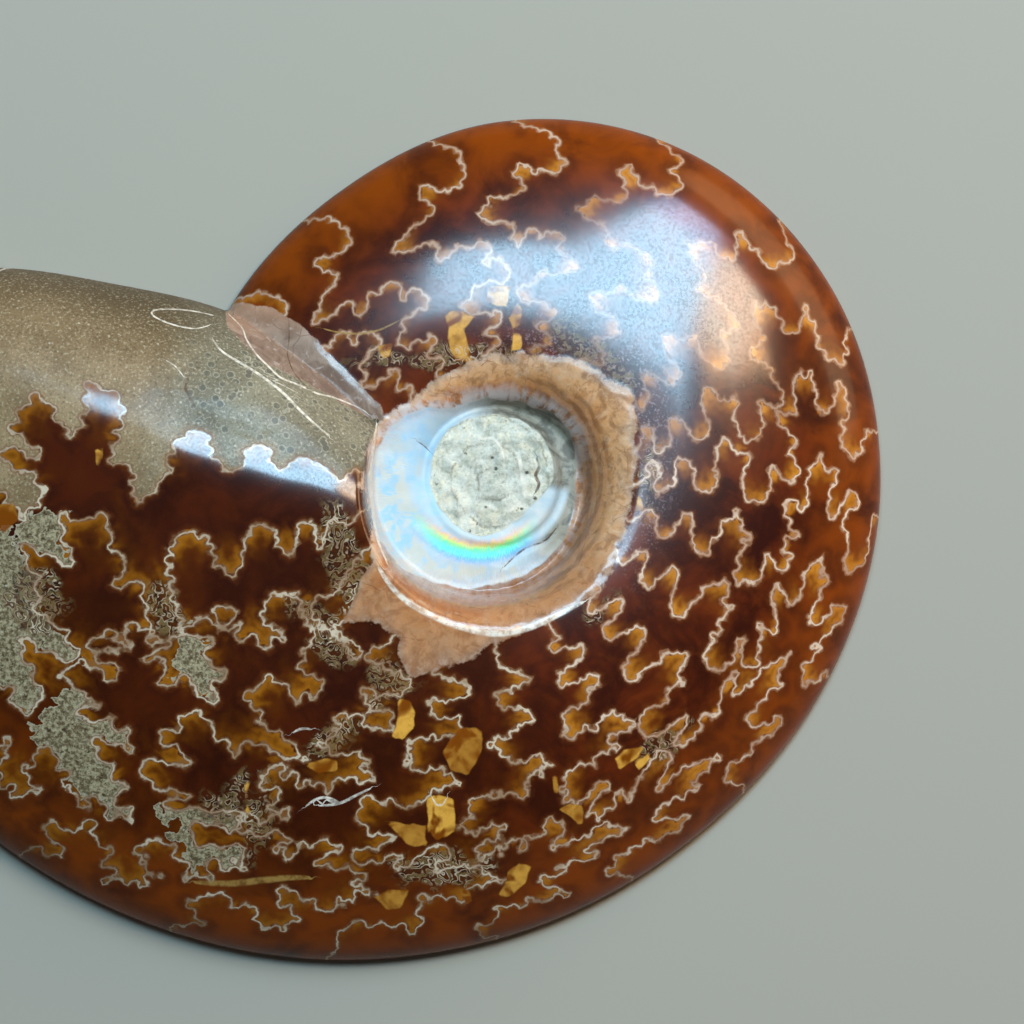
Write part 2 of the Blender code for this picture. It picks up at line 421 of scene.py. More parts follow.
def disc_mesh(rings, spacing):
    """Points and triangles of a flat sheet of rings around the middle; each ring is a radius per angle."""
    angle_list, radius_list, faces = [np.zeros(1)], [np.zeros(1)], []
    before, start = None, 1
    for radii in rings:
        turned, radius = even_ring(ANGLES, radii, spacing)
        ring = list(range(start, start + len(turned)))
        if before is None:
            faces.extend((0, a, b) for a, b in zip(ring, ring[1:] + ring[:1]))
        else:
            faces.extend(zip_rings(*before, ring, turned))
        angle_list.append(turned)
        radius_list.append(radius)
        before, start = (ring, turned), start + len(turned)
    angle, radius = np.concatenate(angle_list), np.concatenate(radius_list)
    return radius * np.cos(angle), radius * np.sin(angle), faces, before


ANGLES = np.linspace(-np.pi, np.pi, ANGLE_SAMPLES, endpoint=False)
EDGE = edge_radius(ANGLES) - 0.01     # a hair inside the solid
top_rings = [np.full_like(ANGLES, NAVEL_RADIUS * k / NAVEL_RINGS) for k in range(1, NAVEL_RINGS + 1)]
top_rings += [NAVEL_RADIUS + (EDGE - NAVEL_RADIUS) * share for share in arch_shares(FLANK_RINGS)]
top_x, top_y, top_faces, rim = disc_mesh(top_rings, POINT_SPACING)
top_z = height(top_x, top_y) + EDGE_BEVEL
top_z[rim[0]] = EDGE_BEVEL
print("the outside has", len(top_x), "points and", len(top_faces), "triangles")

# %% [markdown]
# ## The seams
#
# A chamber wall meets the shell in a folded line: rounded saddles point to the mouth, and pointed lobes
# point back. The folds grow busier as the animal grows. So the line is drawn at several ages, and every
# other seam is a blend of the two nearest ages. An age may give only its first, outer arches. A row below
# is one arch from a sharp tip to the next, and it starts where the row before ended. Its pairs are how far
# forward and how far in from the rim the line has come, in hundredths of a radian and hundredths of the way
# to the shoulder (counted in logarithms, because a coil grows by a constant factor).

# %% The seam at several ages
OLD_RIM_ARCH = ((31, 0), (29, 3), (35, 6), (34, 8), (30, 8), (29, 10), (26, 8), (23, 8), (21, 5), (18, 3),
                (14, 5), (16, 8), (20, 10), (16, 13), (9, 14), (8, 15), (5, 14), (2, 15))
SEAM_AGES = {
    35: (
        ((22, 0), (28, 4), (31, 6), (32, 10), (33, 13), (31, 17), (25, 17), (19, 13), (17, 16), (21, 22),
         (17, 24), (11, 24), (7, 26), (4, 26)),
        ((0, 28),),
        ((4, 30), (8, 32), (13, 32), (18, 34), (19, 36), (17, 39), (18, 42), (23, 41), (27, 37), (30, 40),
         (37, 39), (41, 43), (38, 47), (39, 50), (42, 47), (46, 48), (49, 52), (50, 57), (47, 60),
         (43, 58), (37, 59), (32, 59), (31, 63), (28, 65), (24, 65)),
        ((23, 67),),
        ((25, 69), (27, 73), (35, 73), (39, 76), (43, 74), (46, 77), (45, 82)),
        ((35, 86),),
        ((38, 89), (44, 91), (45, 96), (38, 99)),
        ((33, 102),),
        ((40, 108), (44, 116), (42, 130)),
    ),
    56: (
        ((12, 0), (16, 2), (22, 4), (25, 7), (24, 9), (26, 11), (28, 13), (25, 16), (21, 15), (19, 16),
         (15, 13), (12, 15), (15, 19), (15, 22), (9, 23), (4, 23), (4, 26), (2, 26)),
        ((0, 28),),
        ((4, 32), (9, 32), (14, 34), (13, 39), (17, 41), (19, 37), (22, 36), (25, 39), (28, 37), (34, 39),
         (33, 44), (37, 46), (43, 49), (43, 52), (35, 56), (28, 54), (26, 60), (22, 61)),
        ((17, 64),),
    ),
    77: (
        ((10, 0), (16, 1), (22, 3), (23, 4), (21, 7), (26, 9), (25, 14), (21, 15), (19, 13), (17, 15),
         (14, 13), (10, 11), (8, 13), (12, 17), (13, 21), (9, 23), (3, 23), (2, 26)),
        ((-1, 27),),
    ),
    130: (
        ((23, 0), (22, 2), (24, 4), (27, 5), (29, 8), (27, 10), (24, 11), (22, 10), (18, 10), (17, 8),
         (13, 8), (8, 8), (8, 10), (11, 11), (14, 13), (15, 15), (15, 17), (12, 18), (9, 17), (5, 17),
         (2, 17)),
        ((3, 20), (0, 20)),
        ((2, 22), (5, 24), (10, 25), (13, 25), (13, 29), (12, 32), (15, 32), (18, 30), (21, 27), (24, 26),
         (25, 29), (28, 28), (31, 26), (34, 26), (36, 28), (36, 31), (34, 33), (31, 36), (34, 37),
         (39, 36), (42, 38), (45, 40), (44, 42), (45, 44), (43, 47), (38, 48), (33, 48), (29, 45),
         (26, 45), (26, 49), (24, 52), (19, 53)),
        ((18, 56),),
        ((22, 59), (26, 60), (30, 61), (36, 60), (41, 62), (41, 66), (41, 70), (36, 72), (31, 72),
         (28, 74)),
        ((25, 76),),
        ((25, 80), (29, 82), (36, 83), (39, 84), (41, 89), (45, 93), (40, 96), (34, 94), (28, 93)),
        ((25, 97),),
        ((26, 101), (32, 100), (40, 108), (44, 118), (42, 130)),
    ),
    146: (
        ((17, 1), (23, 2), (27, 2), (30, 3), (33, 6), (31, 8), (28, 8), (24, 8), (21, 10), (17, 9),
         (15, 6), (13, 6), (11, 7), (12, 10), (16, 11), (19, 14), (17, 15), (11, 15), (7, 13), (4, 13),
         (5, 15), (3, 17)),
        ((-1, 18),),
        ((2, 20), (4, 22), (6, 22), (10, 23), (14, 22), (18, 24), (15, 26), (15, 29), (19, 30), (21, 28),
         (24, 28), (26, 24), (27, 27), (28, 29), (32, 28), (33, 25), (37, 26), (39, 27), (37, 30),
         (34, 33), (35, 34), (40, 34), (44, 34), (46, 36), (46, 39), (48, 41), (45, 44), (42, 43),
         (38, 45), (35, 43), (32, 45), (28, 42), (28, 46), (24, 48), (21, 49)),
        ((20, 50),),
        ((24, 51), (26, 56), (31, 55), (36, 58), (42, 58), (43, 63), (40, 67), (31, 70), (26, 72)),
        ((26, 76),),
        ((32, 77), (34, 79), (39, 79), (42, 84), (40, 88), (31, 91)),
        ((28, 95),),
        ((30, 100), (37, 106), (40, 116), (40, 130)),
    ),
    162: (
        ((34, 0), (32, 2), (35, 2), (37, 4), (39, 5), (37, 7), (35, 8), (32, 7), (28, 6), (29, 8),
         (27, 8), (24, 6), (21, 5), (18, 3), (15, 4), (15, 6), (16, 7), (19, 8), (22, 10), (23, 12),
         (20, 13), (16, 12), (12, 12), (8, 11), (9, 14)),
        ((3, 14),),
        ((5, 16), (9, 19), (14, 18), (19, 19), (20, 21), (17, 24), (16, 27), (20, 27), (24, 24), (27, 22),
         (31, 21), (30, 27), (34, 24), (38, 23), (41, 21), (44, 24), (42, 28), (37, 29), (36, 30),
         (40, 31), (44, 29), (48, 30), (51, 31), (52, 36), (50, 39), (44, 39), (43, 41), (39, 38),
         (38, 41), (35, 40), (30, 39), (31, 42), (29, 44), (25, 43), (22, 45)),
        ((21, 47),),
    ),
    181: (
        ((37, 0), (36, 2), (39, 5), (36, 8), (30, 6), (26, 7), (20, 4), (16, 6), (20, 7), (23, 10),
         (23, 13), (16, 13), (12, 13), (9, 11), (8, 14), (4, 14)),
        ((0, 14),),
        ((3, 16), (8, 19), (14, 19), (20, 21), (15, 25), (20, 26), (23, 24), (29, 21), (31, 25), (35, 22),
         (39, 22), (43, 23), (44, 25), (37, 27), (36, 29), (43, 30), (49, 31), (51, 35), (50, 38),
         (45, 40), (38, 37), (36, 40), (31, 39), (29, 37), (29, 41), (25, 42), (23, 42)),
        ((20, 44),),
        ((22, 46), (26, 51), (31, 50), (36, 52), (43, 52), (45, 54), (44, 59), (39, 61), (33, 61),
         (26, 64)),
        ((25, 65),),
        ((27, 69), (34, 71), (36, 73), (43, 74), (43, 80), (42, 82), (35, 81), (26, 83)),
        ((23, 85),),
        ((26, 88), (42, 92), (43, 96), (38, 99), (30, 100), (27, 104), (34, 112), (36, 130)),
    ),
    201: (
        ((36, 1), (37, 2), (39, 3), (41, 5), (40, 6), (38, 6), (38, 7), (36, 7), (34, 7), (32, 6),
         (30, 7), (28, 5), (26, 5), (23, 4), (21, 4), (17, 5), (18, 6), (20, 7), (22, 8), (25, 10),
         (24, 11), (20, 12), (16, 11), (15, 11), (12, 10), (10, 10), (11, 12), (9, 12), (6, 12), (4, 12),
         (0, 12)),
        ((4, 14),),
        ((6, 15), (9, 16), (12, 17), (16, 17), (20, 16), (20, 18), (18, 19), (14, 21), (12, 22), (13, 24),
         (14, 26), (18, 25), (20, 24), (24, 22), (26, 21), (28, 19), (30, 18), (30, 20), (30, 22),
         (32, 22), (34, 19), (36, 20), (38, 19), (39, 18), (40, 20), (42, 21), (40, 23), (37, 25),
         (34, 25), (33, 26), (35, 28), (37, 28), (40, 26), (42, 26), (44, 25), (45, 27), (48, 28),
         (48, 29), (46, 30), (48, 32), (46, 33), (46, 35), (43, 36), (41, 36), (39, 36), (36, 34),
         (35, 34), (35, 36), (32, 36), (29, 35), (25, 34), (27, 36), (28, 39), (25, 39), (22, 38),
         (19, 38), (17, 38)),
        ((17, 40),),
        ((18, 41), (20, 44), (21, 46), (23, 47), (27, 46), (31, 44), (33, 47), (36, 46), (40, 46),
         (42, 48), (40, 50), (41, 54), (38, 56), (35, 56), (31, 55), (28, 56), (28, 58), (26, 60),
         (22, 59)),
        ((21, 62),),
        ((23, 65), (27, 65), (32, 65), (39, 67), (38, 70), (38, 73), (35, 73), (30, 73), (26, 74),
         (22, 76)),
        ((21, 80),),
        ((26, 81), (31, 83), (37, 84), (38, 88), (35, 90), (31, 89), (34, 100), (36, 130)),
    ),
    220: (
        ((35, 0), (36, 1), (39, 2), (40, 4), (38, 4), (35, 5), (36, 7), (34, 7), (32, 7), (31, 6),
         (29, 6), (28, 7), (26, 6), (24, 5), (22, 6), (19, 5), (19, 6), (20, 7), (24, 9), (25, 10),
         (23, 11), (20, 10), (18, 11), (20, 12), (17, 12), (15, 12), (11, 10), (9, 11), (12, 13), (9, 13),
         (6, 13), (2, 12), (-1, 12)),
        ((2, 14),),
        ((6, 17), (10, 16), (14, 17), (17, 17), (20, 17), (20, 19), (18, 19), (16, 21), (18, 24),
         (21, 25), (22, 22), (24, 21), (26, 22), (27, 21), (28, 18), (29, 20), (29, 22), (32, 22),
         (33, 21), (34, 19), (35, 21), (37, 20), (39, 19), (41, 21), (40, 22), (39, 23), (34, 23),
         (35, 24), (33, 26), (35, 27), (40, 26), (41, 25), (44, 27), (46, 28), (44, 30), (42, 30),
         (44, 33), (43, 35), (40, 35), (37, 36), (36, 35), (35, 36), (32, 35), (30, 35), (28, 33),
         (26, 33), (25, 33), (26, 36), (25, 38), (22, 40), (20, 38), (20, 41), (16, 40)),
        ((19, 42),),
        ((19, 44), (22, 45), (23, 44), (28, 44), (32, 47), (34, 48), (33, 49), (37, 51), (37, 52),
         (34, 54), (31, 53), (27, 56), (24, 57), (20, 58)),
        ((20, 60),),
        ((23, 63), (28, 64), (32, 65), (34, 66), (34, 69), (35, 71), (30, 72), (24, 73), (19, 75)),
        ((19, 76),),
        ((24, 79), (29, 81), (33, 83), (35, 86), (35, 90), (36, 93), (34, 112), (36, 130)),
    ),
    256: (
        ((32, 0), (34, 1), (33, 2), (30, 3), (32, 4), (34, 5), (35, 6), (33, 7), (33, 8), (31, 8),
         (30, 9), (28, 7), (27, 7), (26, 7), (25, 8), (23, 7), (22, 6), (20, 4), (19, 5), (17, 5),
         (16, 5), (16, 6), (14, 7), (17, 9), (19, 9), (20, 10), (21, 11), (20, 12), (18, 12), (16, 11),
         (14, 11), (13, 11), (12, 10), (10, 9), (8, 10), (6, 10), (8, 11), (8, 12), (5, 11), (5, 13),
         (2, 13), (0, 13)),
        ((3, 14),),
        ((6, 15), (4, 16), (5, 17), (8, 18), (12, 18), (15, 18), (16, 18), (15, 20), (12, 21), (12, 22),
         (14, 23), (16, 23), (18, 22), (19, 21), (22, 21), (21, 19), (22, 17), (24, 19), (25, 18),
         (26, 19), (24, 21), (26, 22), (28, 22), (29, 21), (31, 20), (32, 20), (35, 20), (36, 21),
         (36, 23), (33, 23), (31, 23), (30, 25), (27, 25), (27, 26), (28, 27), (30, 26), (33, 26),
         (32, 28), (32, 30), (33, 30), (36, 29), (38, 29), (39, 31), (38, 32), (39, 33), (38, 34),
         (35, 35), (35, 33), (33, 32), (33, 35), (30, 33), (28, 32), (28, 34), (26, 34), (24, 34),
         (22, 33), (21, 34), (21, 36), (20, 37), (17, 38), (13, 38), (11, 39)),
        ((13, 41),),
        ((17, 41), (15, 43), (17, 44), (21, 44), (25, 42), (29, 43), (32, 43), (30, 45), (29, 47),
         (31, 47), (29, 49), (32, 51), (30, 53), (27, 53), (24, 55), (22, 52), (20, 52), (16, 53),
         (12, 53), (12, 55)),
        ((14, 56),),
        ((14, 59), (17, 59), (22, 57), (25, 58), (25, 60), (28, 60), (29, 63), (25, 63), (22, 62),
         (18, 64), (14, 65)),
        ((12, 69),),
        ((11, 71), (18, 72), (23, 71), (29, 72), (34, 71), (35, 75), (30, 81), (28, 95), (30, 110),
         (32, 130)),
    ),
    273: (
        ((32, 1), (31, 2), (29, 2), (27, 3), (30, 4), (33, 4), (33, 5), (33, 6), (31, 6), (29, 6),
         (30, 8), (28, 9), (27, 8), (25, 7), (24, 7), (23, 8), (22, 7), (21, 5), (19, 5), (19, 3),
         (18, 4), (17, 4), (16, 4), (15, 5), (14, 4), (13, 5), (14, 6), (12, 7), (13, 7), (15, 7),
         (17, 8), (16, 9), (19, 9), (19, 11), (17, 12), (15, 12), (14, 12), (12, 10), (11, 10), (11, 11),
         (9, 10), (8, 8), (7, 9), (7, 10), (4, 9), (4, 10), (6, 11), (7, 12), (6, 13), (3, 12), (2, 12),
         (1, 13), (-1, 13)),
        ((1, 14),),
        ((3, 14), (1, 15), (2, 17), (5, 16), (10, 14), (13, 15), (14, 17), (11, 18), (6, 19), (5, 20),
         (8, 21), (6, 22), (10, 22), (12, 20), (15, 20), (17, 19), (21, 17), (22, 18), (21, 19), (19, 21),
         (21, 21), (23, 20), (26, 19), (29, 19), (31, 20), (32, 21), (29, 23), (26, 24), (25, 25),
         (26, 26), (29, 26), (31, 26), (33, 25), (35, 26), (35, 27), (33, 29), (34, 30), (36, 31),
         (35, 32), (33, 34), (31, 33), (29, 34), (26, 32), (23, 33), (20, 32), (18, 31), (19, 34),
         (16, 36), (13, 36), (8, 36), (2, 38)),
        ((7, 39),),
        ((11, 40), (17, 40), (20, 40), (21, 42), (24, 42), (28, 42), (29, 44), (27, 46), (29, 48),
         (26, 50), (23, 50), (20, 51), (19, 49), (15, 49), (15, 52), (11, 52), (12, 55)),
        ((13, 57),),
        ((16, 57), (21, 56), (24, 57), (25, 60), (27, 59), (27, 63), (30, 67), (28, 70), (24, 70),
         (17, 70), (10, 68), (8, 69)),
        ((8, 71),),
        ((14, 72), (24, 72), (26, 72), (24, 76), (25, 81), (27, 89), (33, 102), (30, 130)),
    ),
    287: (
        ((31, 0), (29, 3), (33, 5), (26, 8), (27, 10), (26, 10), (24, 9), (24, 8), (20, 6), (19, 7),
         (17, 6), (16, 7), (17, 8), (15, 8), (16, 9), (18, 9), (21, 10), (20, 11), (22, 12), (22, 13),
         (20, 14), (18, 13), (15, 13), (14, 11), (13, 12), (10, 11), (7, 11), (9, 12), (8, 13), (6, 13),
         (4, 12), (2, 13), (0, 13)),
        ((2, 15),),
        ((5, 14), (6, 15), (5, 17), (7, 17), (9, 17), (11, 18), (15, 18), (17, 19), (17, 20), (14, 21),
         (12, 21), (11, 22), (13, 23), (15, 24), (16, 23), (17, 23), (19, 23), (21, 21), (22, 20),
         (24, 20), (24, 21), (23, 23), (24, 23), (25, 23), (26, 22), (29, 22), (32, 21), (33, 23),
         (34, 24), (34, 25), (32, 25), (31, 26), (30, 26), (28, 26), (26, 27), (27, 28), (29, 28),
         (28, 29), (29, 29), (30, 28), (33, 27), (34, 28), (32, 30), (33, 30), (34, 29), (35, 27),
         (36, 27), (37, 29), (38, 31), (36, 32), (35, 31), (32, 32), (33, 33), (36, 33), (37, 35),
         (35, 36), (33, 37), (31, 35), (30, 35), (30, 37), (28, 38), (28, 33), (27, 33), (26, 35),
         (24, 36), (22, 34), (20, 33), (18, 34), (19, 36), (19, 37), (17, 38), (15, 37), (12, 37),
         (10, 37), (7, 38)),
        ((8, 39),),
        ((12, 40), (13, 41), (11, 43), (13, 44), (16, 43), (20, 43), (22, 43), (22, 46), (24, 46),
         (26, 44), (28, 42), (30, 42), (31, 43), (30, 45), (30, 46), (32, 45), (30, 47), (28, 48),
         (25, 48), (25, 49), (28, 49), (31, 49), (31, 51), (29, 53), (26, 53), (25, 50), (24, 49),
         (23, 53), (22, 52), (19, 50), (18, 51), (18, 52), (18, 54), (14, 54), (11, 54), (10, 55)),
        ((13, 57),),
        ((10, 59), (12, 60), (16, 59), (20, 58), (25, 61), (27, 64), (23, 67), (22, 70), (15, 68),
         (7, 67), (3, 69)),
        ((2, 71),),
        ((11, 70), (16, 74), (14, 79), (16, 84), (20, 90), (27, 105), (26, 130)),
    ),
    302: (
        OLD_RIM_ARCH,
        ((4, 18),),
        ((14, 19), (16, 20), (11, 22), (8, 25), (16, 25), (21, 23), (24, 24), (28, 25), (33, 25),
         (35, 26), (30, 29), (29, 31), (33, 31), (36, 31), (41, 32), (38, 34), (40, 37), (36, 38),
         (31, 37), (26, 38), (22, 35), (20, 36), (21, 39), (11, 38), (7, 37), (3, 38)),
        ((3, 42),),
        ((8, 43), (16, 44), (24, 45), (27, 46), (31, 49), (32, 51), (28, 54), (20, 54), (15, 56)),
        ((13, 57),),
        ((18, 60), (25, 62), (30, 66), (28, 68), (25, 70), (19, 70), (13, 72)),
        ((12, 73),),
        ((16, 75), (25, 77), (26, 80), (23, 82), (11, 82), (13, 84), (21, 87), (24, 89), (19, 95),
         (26, 104), (20, 114), (26, 130)),
    ),
    319: (
        OLD_RIM_ARCH,
        ((3, 18),),
        ((14, 20), (17, 24), (13, 26), (11, 27), (14, 29), (15, 30), (20, 29), (22, 26), (26, 26),
         (23, 30), (27, 29), (29, 27), (34, 28), (37, 30), (31, 33), (29, 35), (35, 36), (41, 36),
         (42, 38), (40, 41), (31, 41), (24, 40), (22, 43), (15, 43)),
        ((12, 44),),
        ((16, 47), (20, 49), (27, 50), (33, 52), (35, 55), (34, 56), (27, 58), (21, 61)),
        ((22, 63),),
        ((24, 65), (30, 65), (32, 70), (27, 71), (22, 73)),
        ((23, 75),),
        ((29, 79), (28, 83), (25, 88), (18, 93), (25, 99), (20, 108), (28, 118), (24, 130)),
    ),
}
SEAM_GROWTHS = (-28, -9, 10, 35, 56, 77, 99, 116, 130, 146, 162, 181, 201, 220, 239, 256, 273, 287,
                302, 319)


def whole_rows(rows):
    """Every row with the end of the row before at its front."""
    return [rows[0]] + [(before[-1], *row) for before, row in zip(rows, rows[1:])]


SEAM_AGES = {age: whole_rows(rows) for age, rows in SEAM_AGES.items()}
print("the seam is drawn at", len(SEAM_AGES), "ages, with so many arches each:",
      [len(rows) for rows in SEAM_AGES.values()])

# %% [markdown]
# Finer teeth ride on the drawn line. They're a row of arches, |sin|, so every tooth is round towards the
# mouth and sharp towards the back, like the big folds. They're small in youth and large near the mouth.

# %% Blend the ages and add the teeth
TOOTH_LENGTH = 0.042
TOOTH_YOUNG, TOOTH_OLD = 0.007, 0.012
WANDER = 0.004
WANDER_WAVES = (0.9, 0.4, 0.17)
CURVE_SAMPLES = 24              # per drawn point, before the line is spaced evenly
POINTS_PER_HUNDREDTH = 2.6
YOUNG_GROWTH, GROWING_UP = 35.0, 230.0


def smooth_through(points, count):
    """Points evenly spread along a smooth curve through the given ones."""
    points = np.asarray(points, float)
    places = np.linspace(0.0, len(points) - 1.0, CURVE_SAMPLES * len(points))
    curve = np.stack([smooth_curve(axis, 1.0, 0.0, places) for axis in points.T], axis=1)
    run = run_along(*curve.T)
    return np.stack([np.interp(np.linspace(0.0, run[-1], count), run, axis) for axis in curve.T], axis=1)


def blended_arch(row, growth):
    """One arch at this growth, between the two nearest ages that have it."""
    ages = [age for age in sorted(SEAM_AGES) if len(SEAM_AGES[age]) > row]
    spans = [run_along(*np.transpose(SEAM_AGES[age][row]))[-1] for age in ages]
    count = max(4, round(POINTS_PER_HUNDREDTH * max(spans)))
    older = min(max(np.searchsorted(ages, growth), 1), len(ages) - 1)
    share = np.clip((growth - ages[older - 1]) / (ages[older] - ages[older - 1]), 0.0, 1.0)
    young, old = (0.01 * smooth_through(SEAM_AGES[ages[k]][row], count) for k in (older - 1, older))
    return (1.0 - share) * young + share * old


def toothed(line, size, random):
    """Rows of small arches along one large arch, fading out at its sharp ends."""
    run = run_along(*line.T)
    teeth = max(1, round(run[-1] / (TOOTH_LENGTH * random.uniform(0.8, 1.25))))
    drift = 0.25 / teeth * np.sin(2 * np.pi * (run / run[-1] + random.random()))
    size = size * np.clip(np.minimum(run, run[-1] - run) / 0.02, 0.0, 1.0) * random.uniform(0.6, 1.3)
    way = np.gradient(line, axis=0)
    normal = np.stack((way[:, 1], -way[:, 0]), axis=1) / np.hypot(*way.T)[:, None]
    push = size * (np.abs(np.sin(np.pi * teeth * (run / run[-1] + drift))) - 0.5)
    return line + normal * push[:, None]


def seam_line(growth, random):
    """One seam from rim to navel: growth in degrees, and depth from the rim as a share of the flank."""
    age = np.clip((growth - YOUNG_GROWTH) / GROWING_UP, 0.0, 1.0)
    tooth = TOOTH_YOUNG + (TOOTH_OLD - TOOTH_YOUNG) * age
    whole, end = [], None
    for row in range(max(len(rows) for rows in SEAM_AGES.values())):
        line = blended_arch(row, growth)
        if end is not None:
            line += (end - line[0]) * np.linspace(1.0, 0.0, len(line))[:, None]
        end = line[-1].copy()
        whole.append(toothed(line, tooth, random))
    line = np.concatenate(whole)
    waves = [random.uniform(0, 2 * np.pi, 2) for _ in WANDER_WAVES]
    for wave, length in zip(waves, WANDER_WAVES):
        line += WANDER * length**0.5 * np.sin(line[:, ::-1] * 2 * np.pi / length + wave)
    return growth + np.degrees(line[:, 0]), line[:, 1]


random = np.random.default_rng(7)
SEAMS = [seam_line(growth, random) for growth in SEAM_GROWTHS]
print(len(SEAMS), "seams of", len(SEAMS[0][0]), "points each")

# %% [markdown]
# ## Unroll the flank
#
# Near the rim the surface turns down, and a distance measured from above would be too short. So each place
# gets an unrolled radius, which is its radius plus what the arch adds. Distances to the seams are taken
# between unrolled places, and the folds keep their size down to the cut face.

# %% Unrolled places
def arch_excess(share):
    """How much longer the arch is than its shadow, up to a share of the flank, for one flank width."""
    q = np.linspace(0.0, 1.0, 4000)
    arch = FLANK_ASPECT * np.sqrt(np.maximum(1.0 - q**FLANK_POWER, 0.0))
    return np.interp(share, q, run_along(q, arch) - q)


def unrolled(radius, growth):
    shoulder, outer = shoulder_radius(growth), outer_radius(growth)
    share = np.clip((radius - shoulder) / (outer - shoulder), 0.0, 1.0)
    return radius + arch_excess(share) * (outer - shoulder)


def plane_place(radius, growth):
    angle = np.radians(START_ANGLE - growth)
    return radius * np.cos(angle), radius * np.sin(angle)


LEAD_POINTS, LEAD_SHARE = 40, 0.3      # every seam is carried on past the rim, down to the cut face


def seam_in_plane(seam):
    """A seam as dense points: unrolled x and y, growth, and unrolled radius over the rim's radius."""
    lead = np.linspace(-LEAD_SHARE, 0.0, LEAD_POINTS, endpoint=False)
    growth = np.concatenate((np.full(LEAD_POINTS, seam[0][0]), seam[0]))
    share = np.concatenate((lead + seam[1][0], seam[1]))
    fine = np.linspace(0.0, len(growth) - 1.0, 3 * len(growth))
    growth, share = (np.interp(fine, np.arange(len(growth)), values) for values in (growth, share))
    outer = outer_radius(growth)
    radius = outer * (shoulder_radius(growth) / outer)**share
    wide = unrolled(radius, growth)
    x, y = plane_place(wide, growth)
    return x, y, growth, wide / outer


seam_planes = [seam_in_plane(seam) for seam in SEAMS]
print("the longest step along a seam is",
      round(max(np.max(np.hypot(np.diff(x), np.diff(y))) for x, y, _, _ in seam_planes), 2), "mm")

# %% [markdown]
# ## Distances to the seams
#
# Colour by distance needs a smooth number at every point of the mesh. A plain distance has a kink at zero,
# and a thin line drawn from it breaks up between two points. A signed distance doesn't. The sign here is
# plus in even chambers and minus in odd ones, so it changes at each seam and nowhere else.

# %% Which chamber, and how far from the next seam
LIP_RADIUS = 60.0               # beyond it, what lies in front of the mouth's foot belongs to the lip
REACH_BANDS = (1.5, 70)         # the widest reach, and in how many bands points and seams are compared
HALF_TURN = 180.0
YOUNG_SEAMS, OLD_SEAMS = range(15), range(7, len(SEAMS))        # those that can lie near each part

top_radius = np.hypot(top_x, top_y)
mouth_depth = depth_behind_mouth(top_x, top_y)
top_growth = growth_at(top_x, top_y)
before_start = (top_growth > LIP_FIRST_GROWTH) & (mouth_depth <= 0.0) & (top_radius < LIP_RADIUS)
in_lip = (top_growth < MOUTH_REACH) & (mouth_depth > 0.0)
top_growth = top_growth - 360.0 * before_start + 360.0 * in_lip
top_wide = unrolled(top_radius, top_growth)
plane_x, plane_y = plane_place(top_wide, top_growth)
top_reach = top_wide / outer_radius(top_growth)


def ahead_of(seam):
    """Whether each point is on the mouth's side of the seam: count the crossings on the way back."""
    _, _, growth, reach = seam
    odd = np.zeros(len(top_x), bool)
    bands = np.linspace(0.0, *REACH_BANDS)
    piece_low, piece_high = np.minimum(reach[1:], reach[:-1]), np.maximum(reach[1:], reach[:-1])
    near = (top_growth > growth.min()) & (top_growth < growth.max() + 1.0)
    for low, high in zip(bands, bands[1:]):
        points = np.flatnonzero(near & (top_reach >= low) & (top_reach < high))
        pieces = np.flatnonzero((piece_low < high) & (piece_high > low))
        if len(points) == 0 or len(pieces) == 0:
            continue
        level = top_reach[points][:, None]
        r0, r1, g0, g1 = reach[pieces], reach[pieces + 1], growth[pieces], growth[pieces + 1]
        crosses = (r0 > level) != (r1 > level)
        where = g0 + (level - r0) * (g1 - g0) / np.where(r1 == r0, 1.0, r1 - r0)
        odd[points] = np.sum(crosses & (where < top_growth[points][:, None]), axis=1) % 2 == 1
    return odd | (top_growth >= growth.max() + 1.0)


def distance_to(seams, points):
    """Distance from some points to the nearest of the seams, and the number of that seam."""
    tree = KDTree(sum(len(seam_planes[number][0]) for number in seams))
    owner, place = [], 0
    for number in seams:
        for x, y in zip(*seam_planes[number][:2]):
            tree.insert((x, y, 0.0), place)
            place += 1
        owner += [number] * len(seam_planes[number][0])
    tree.balance()
    found = [tree.find((x, y, 0.0)) for x, y in zip(plane_x[points], plane_y[points])]
    return np.array([hit[2] for hit in found]), np.array(owner)[[hit[1] for hit in found]]


# The coil overlaps itself seen from above, so its young and its old part are measured one by one.
ahead = np.stack([ahead_of(seam) for seam in seam_planes])
chamber = ahead.sum(axis=0)
seam_distance, nearest_seam = np.zeros(len(top_x)), np.zeros(len(top_x), int)
old_part = top_growth >= HALF_TURN
for points, seams in ((~old_part, YOUNG_SEAMS), (old_part, OLD_SEAMS)):
    seam_distance[points], nearest_seam[points] = distance_to(seams, points)
seam_signed = seam_distance * np.where(chamber % 2 == 0, 1.0, -1.0)
seam_turn = np.where(nearest_seam % 2 == 0, 1.0, -1.0)
sand_signed = np.full(len(top_x), -30.0)
to_last_seam, _ = distance_to([len(SEAMS) - 1], old_part)
sand_signed[old_part] = to_last_seam * np.where(ahead[-1][old_part], 1.0, -1.0)
print("the chambers on the outside:", len(np.unique(chamber)))

# %% [markdown]
# A fold of calcite glows where it is narrow, because light gets in from both sides. How narrow a fold is
# comes out of a blur: each point asks what share of its neighbourhood lies in its own chamber. Beside a
# straight seam that share is known. Inside a narrow fold it's less, and the shortfall is the narrowness.

# %% Narrow folds
POINTS_APART = 0.28
top_edges = np.array([(a, b) for face in top_faces for a, b in zip(face, face[1:] + face[:1])])
neighbour_count = np.bincount(top_edges.ravel(), minlength=len(top_x))


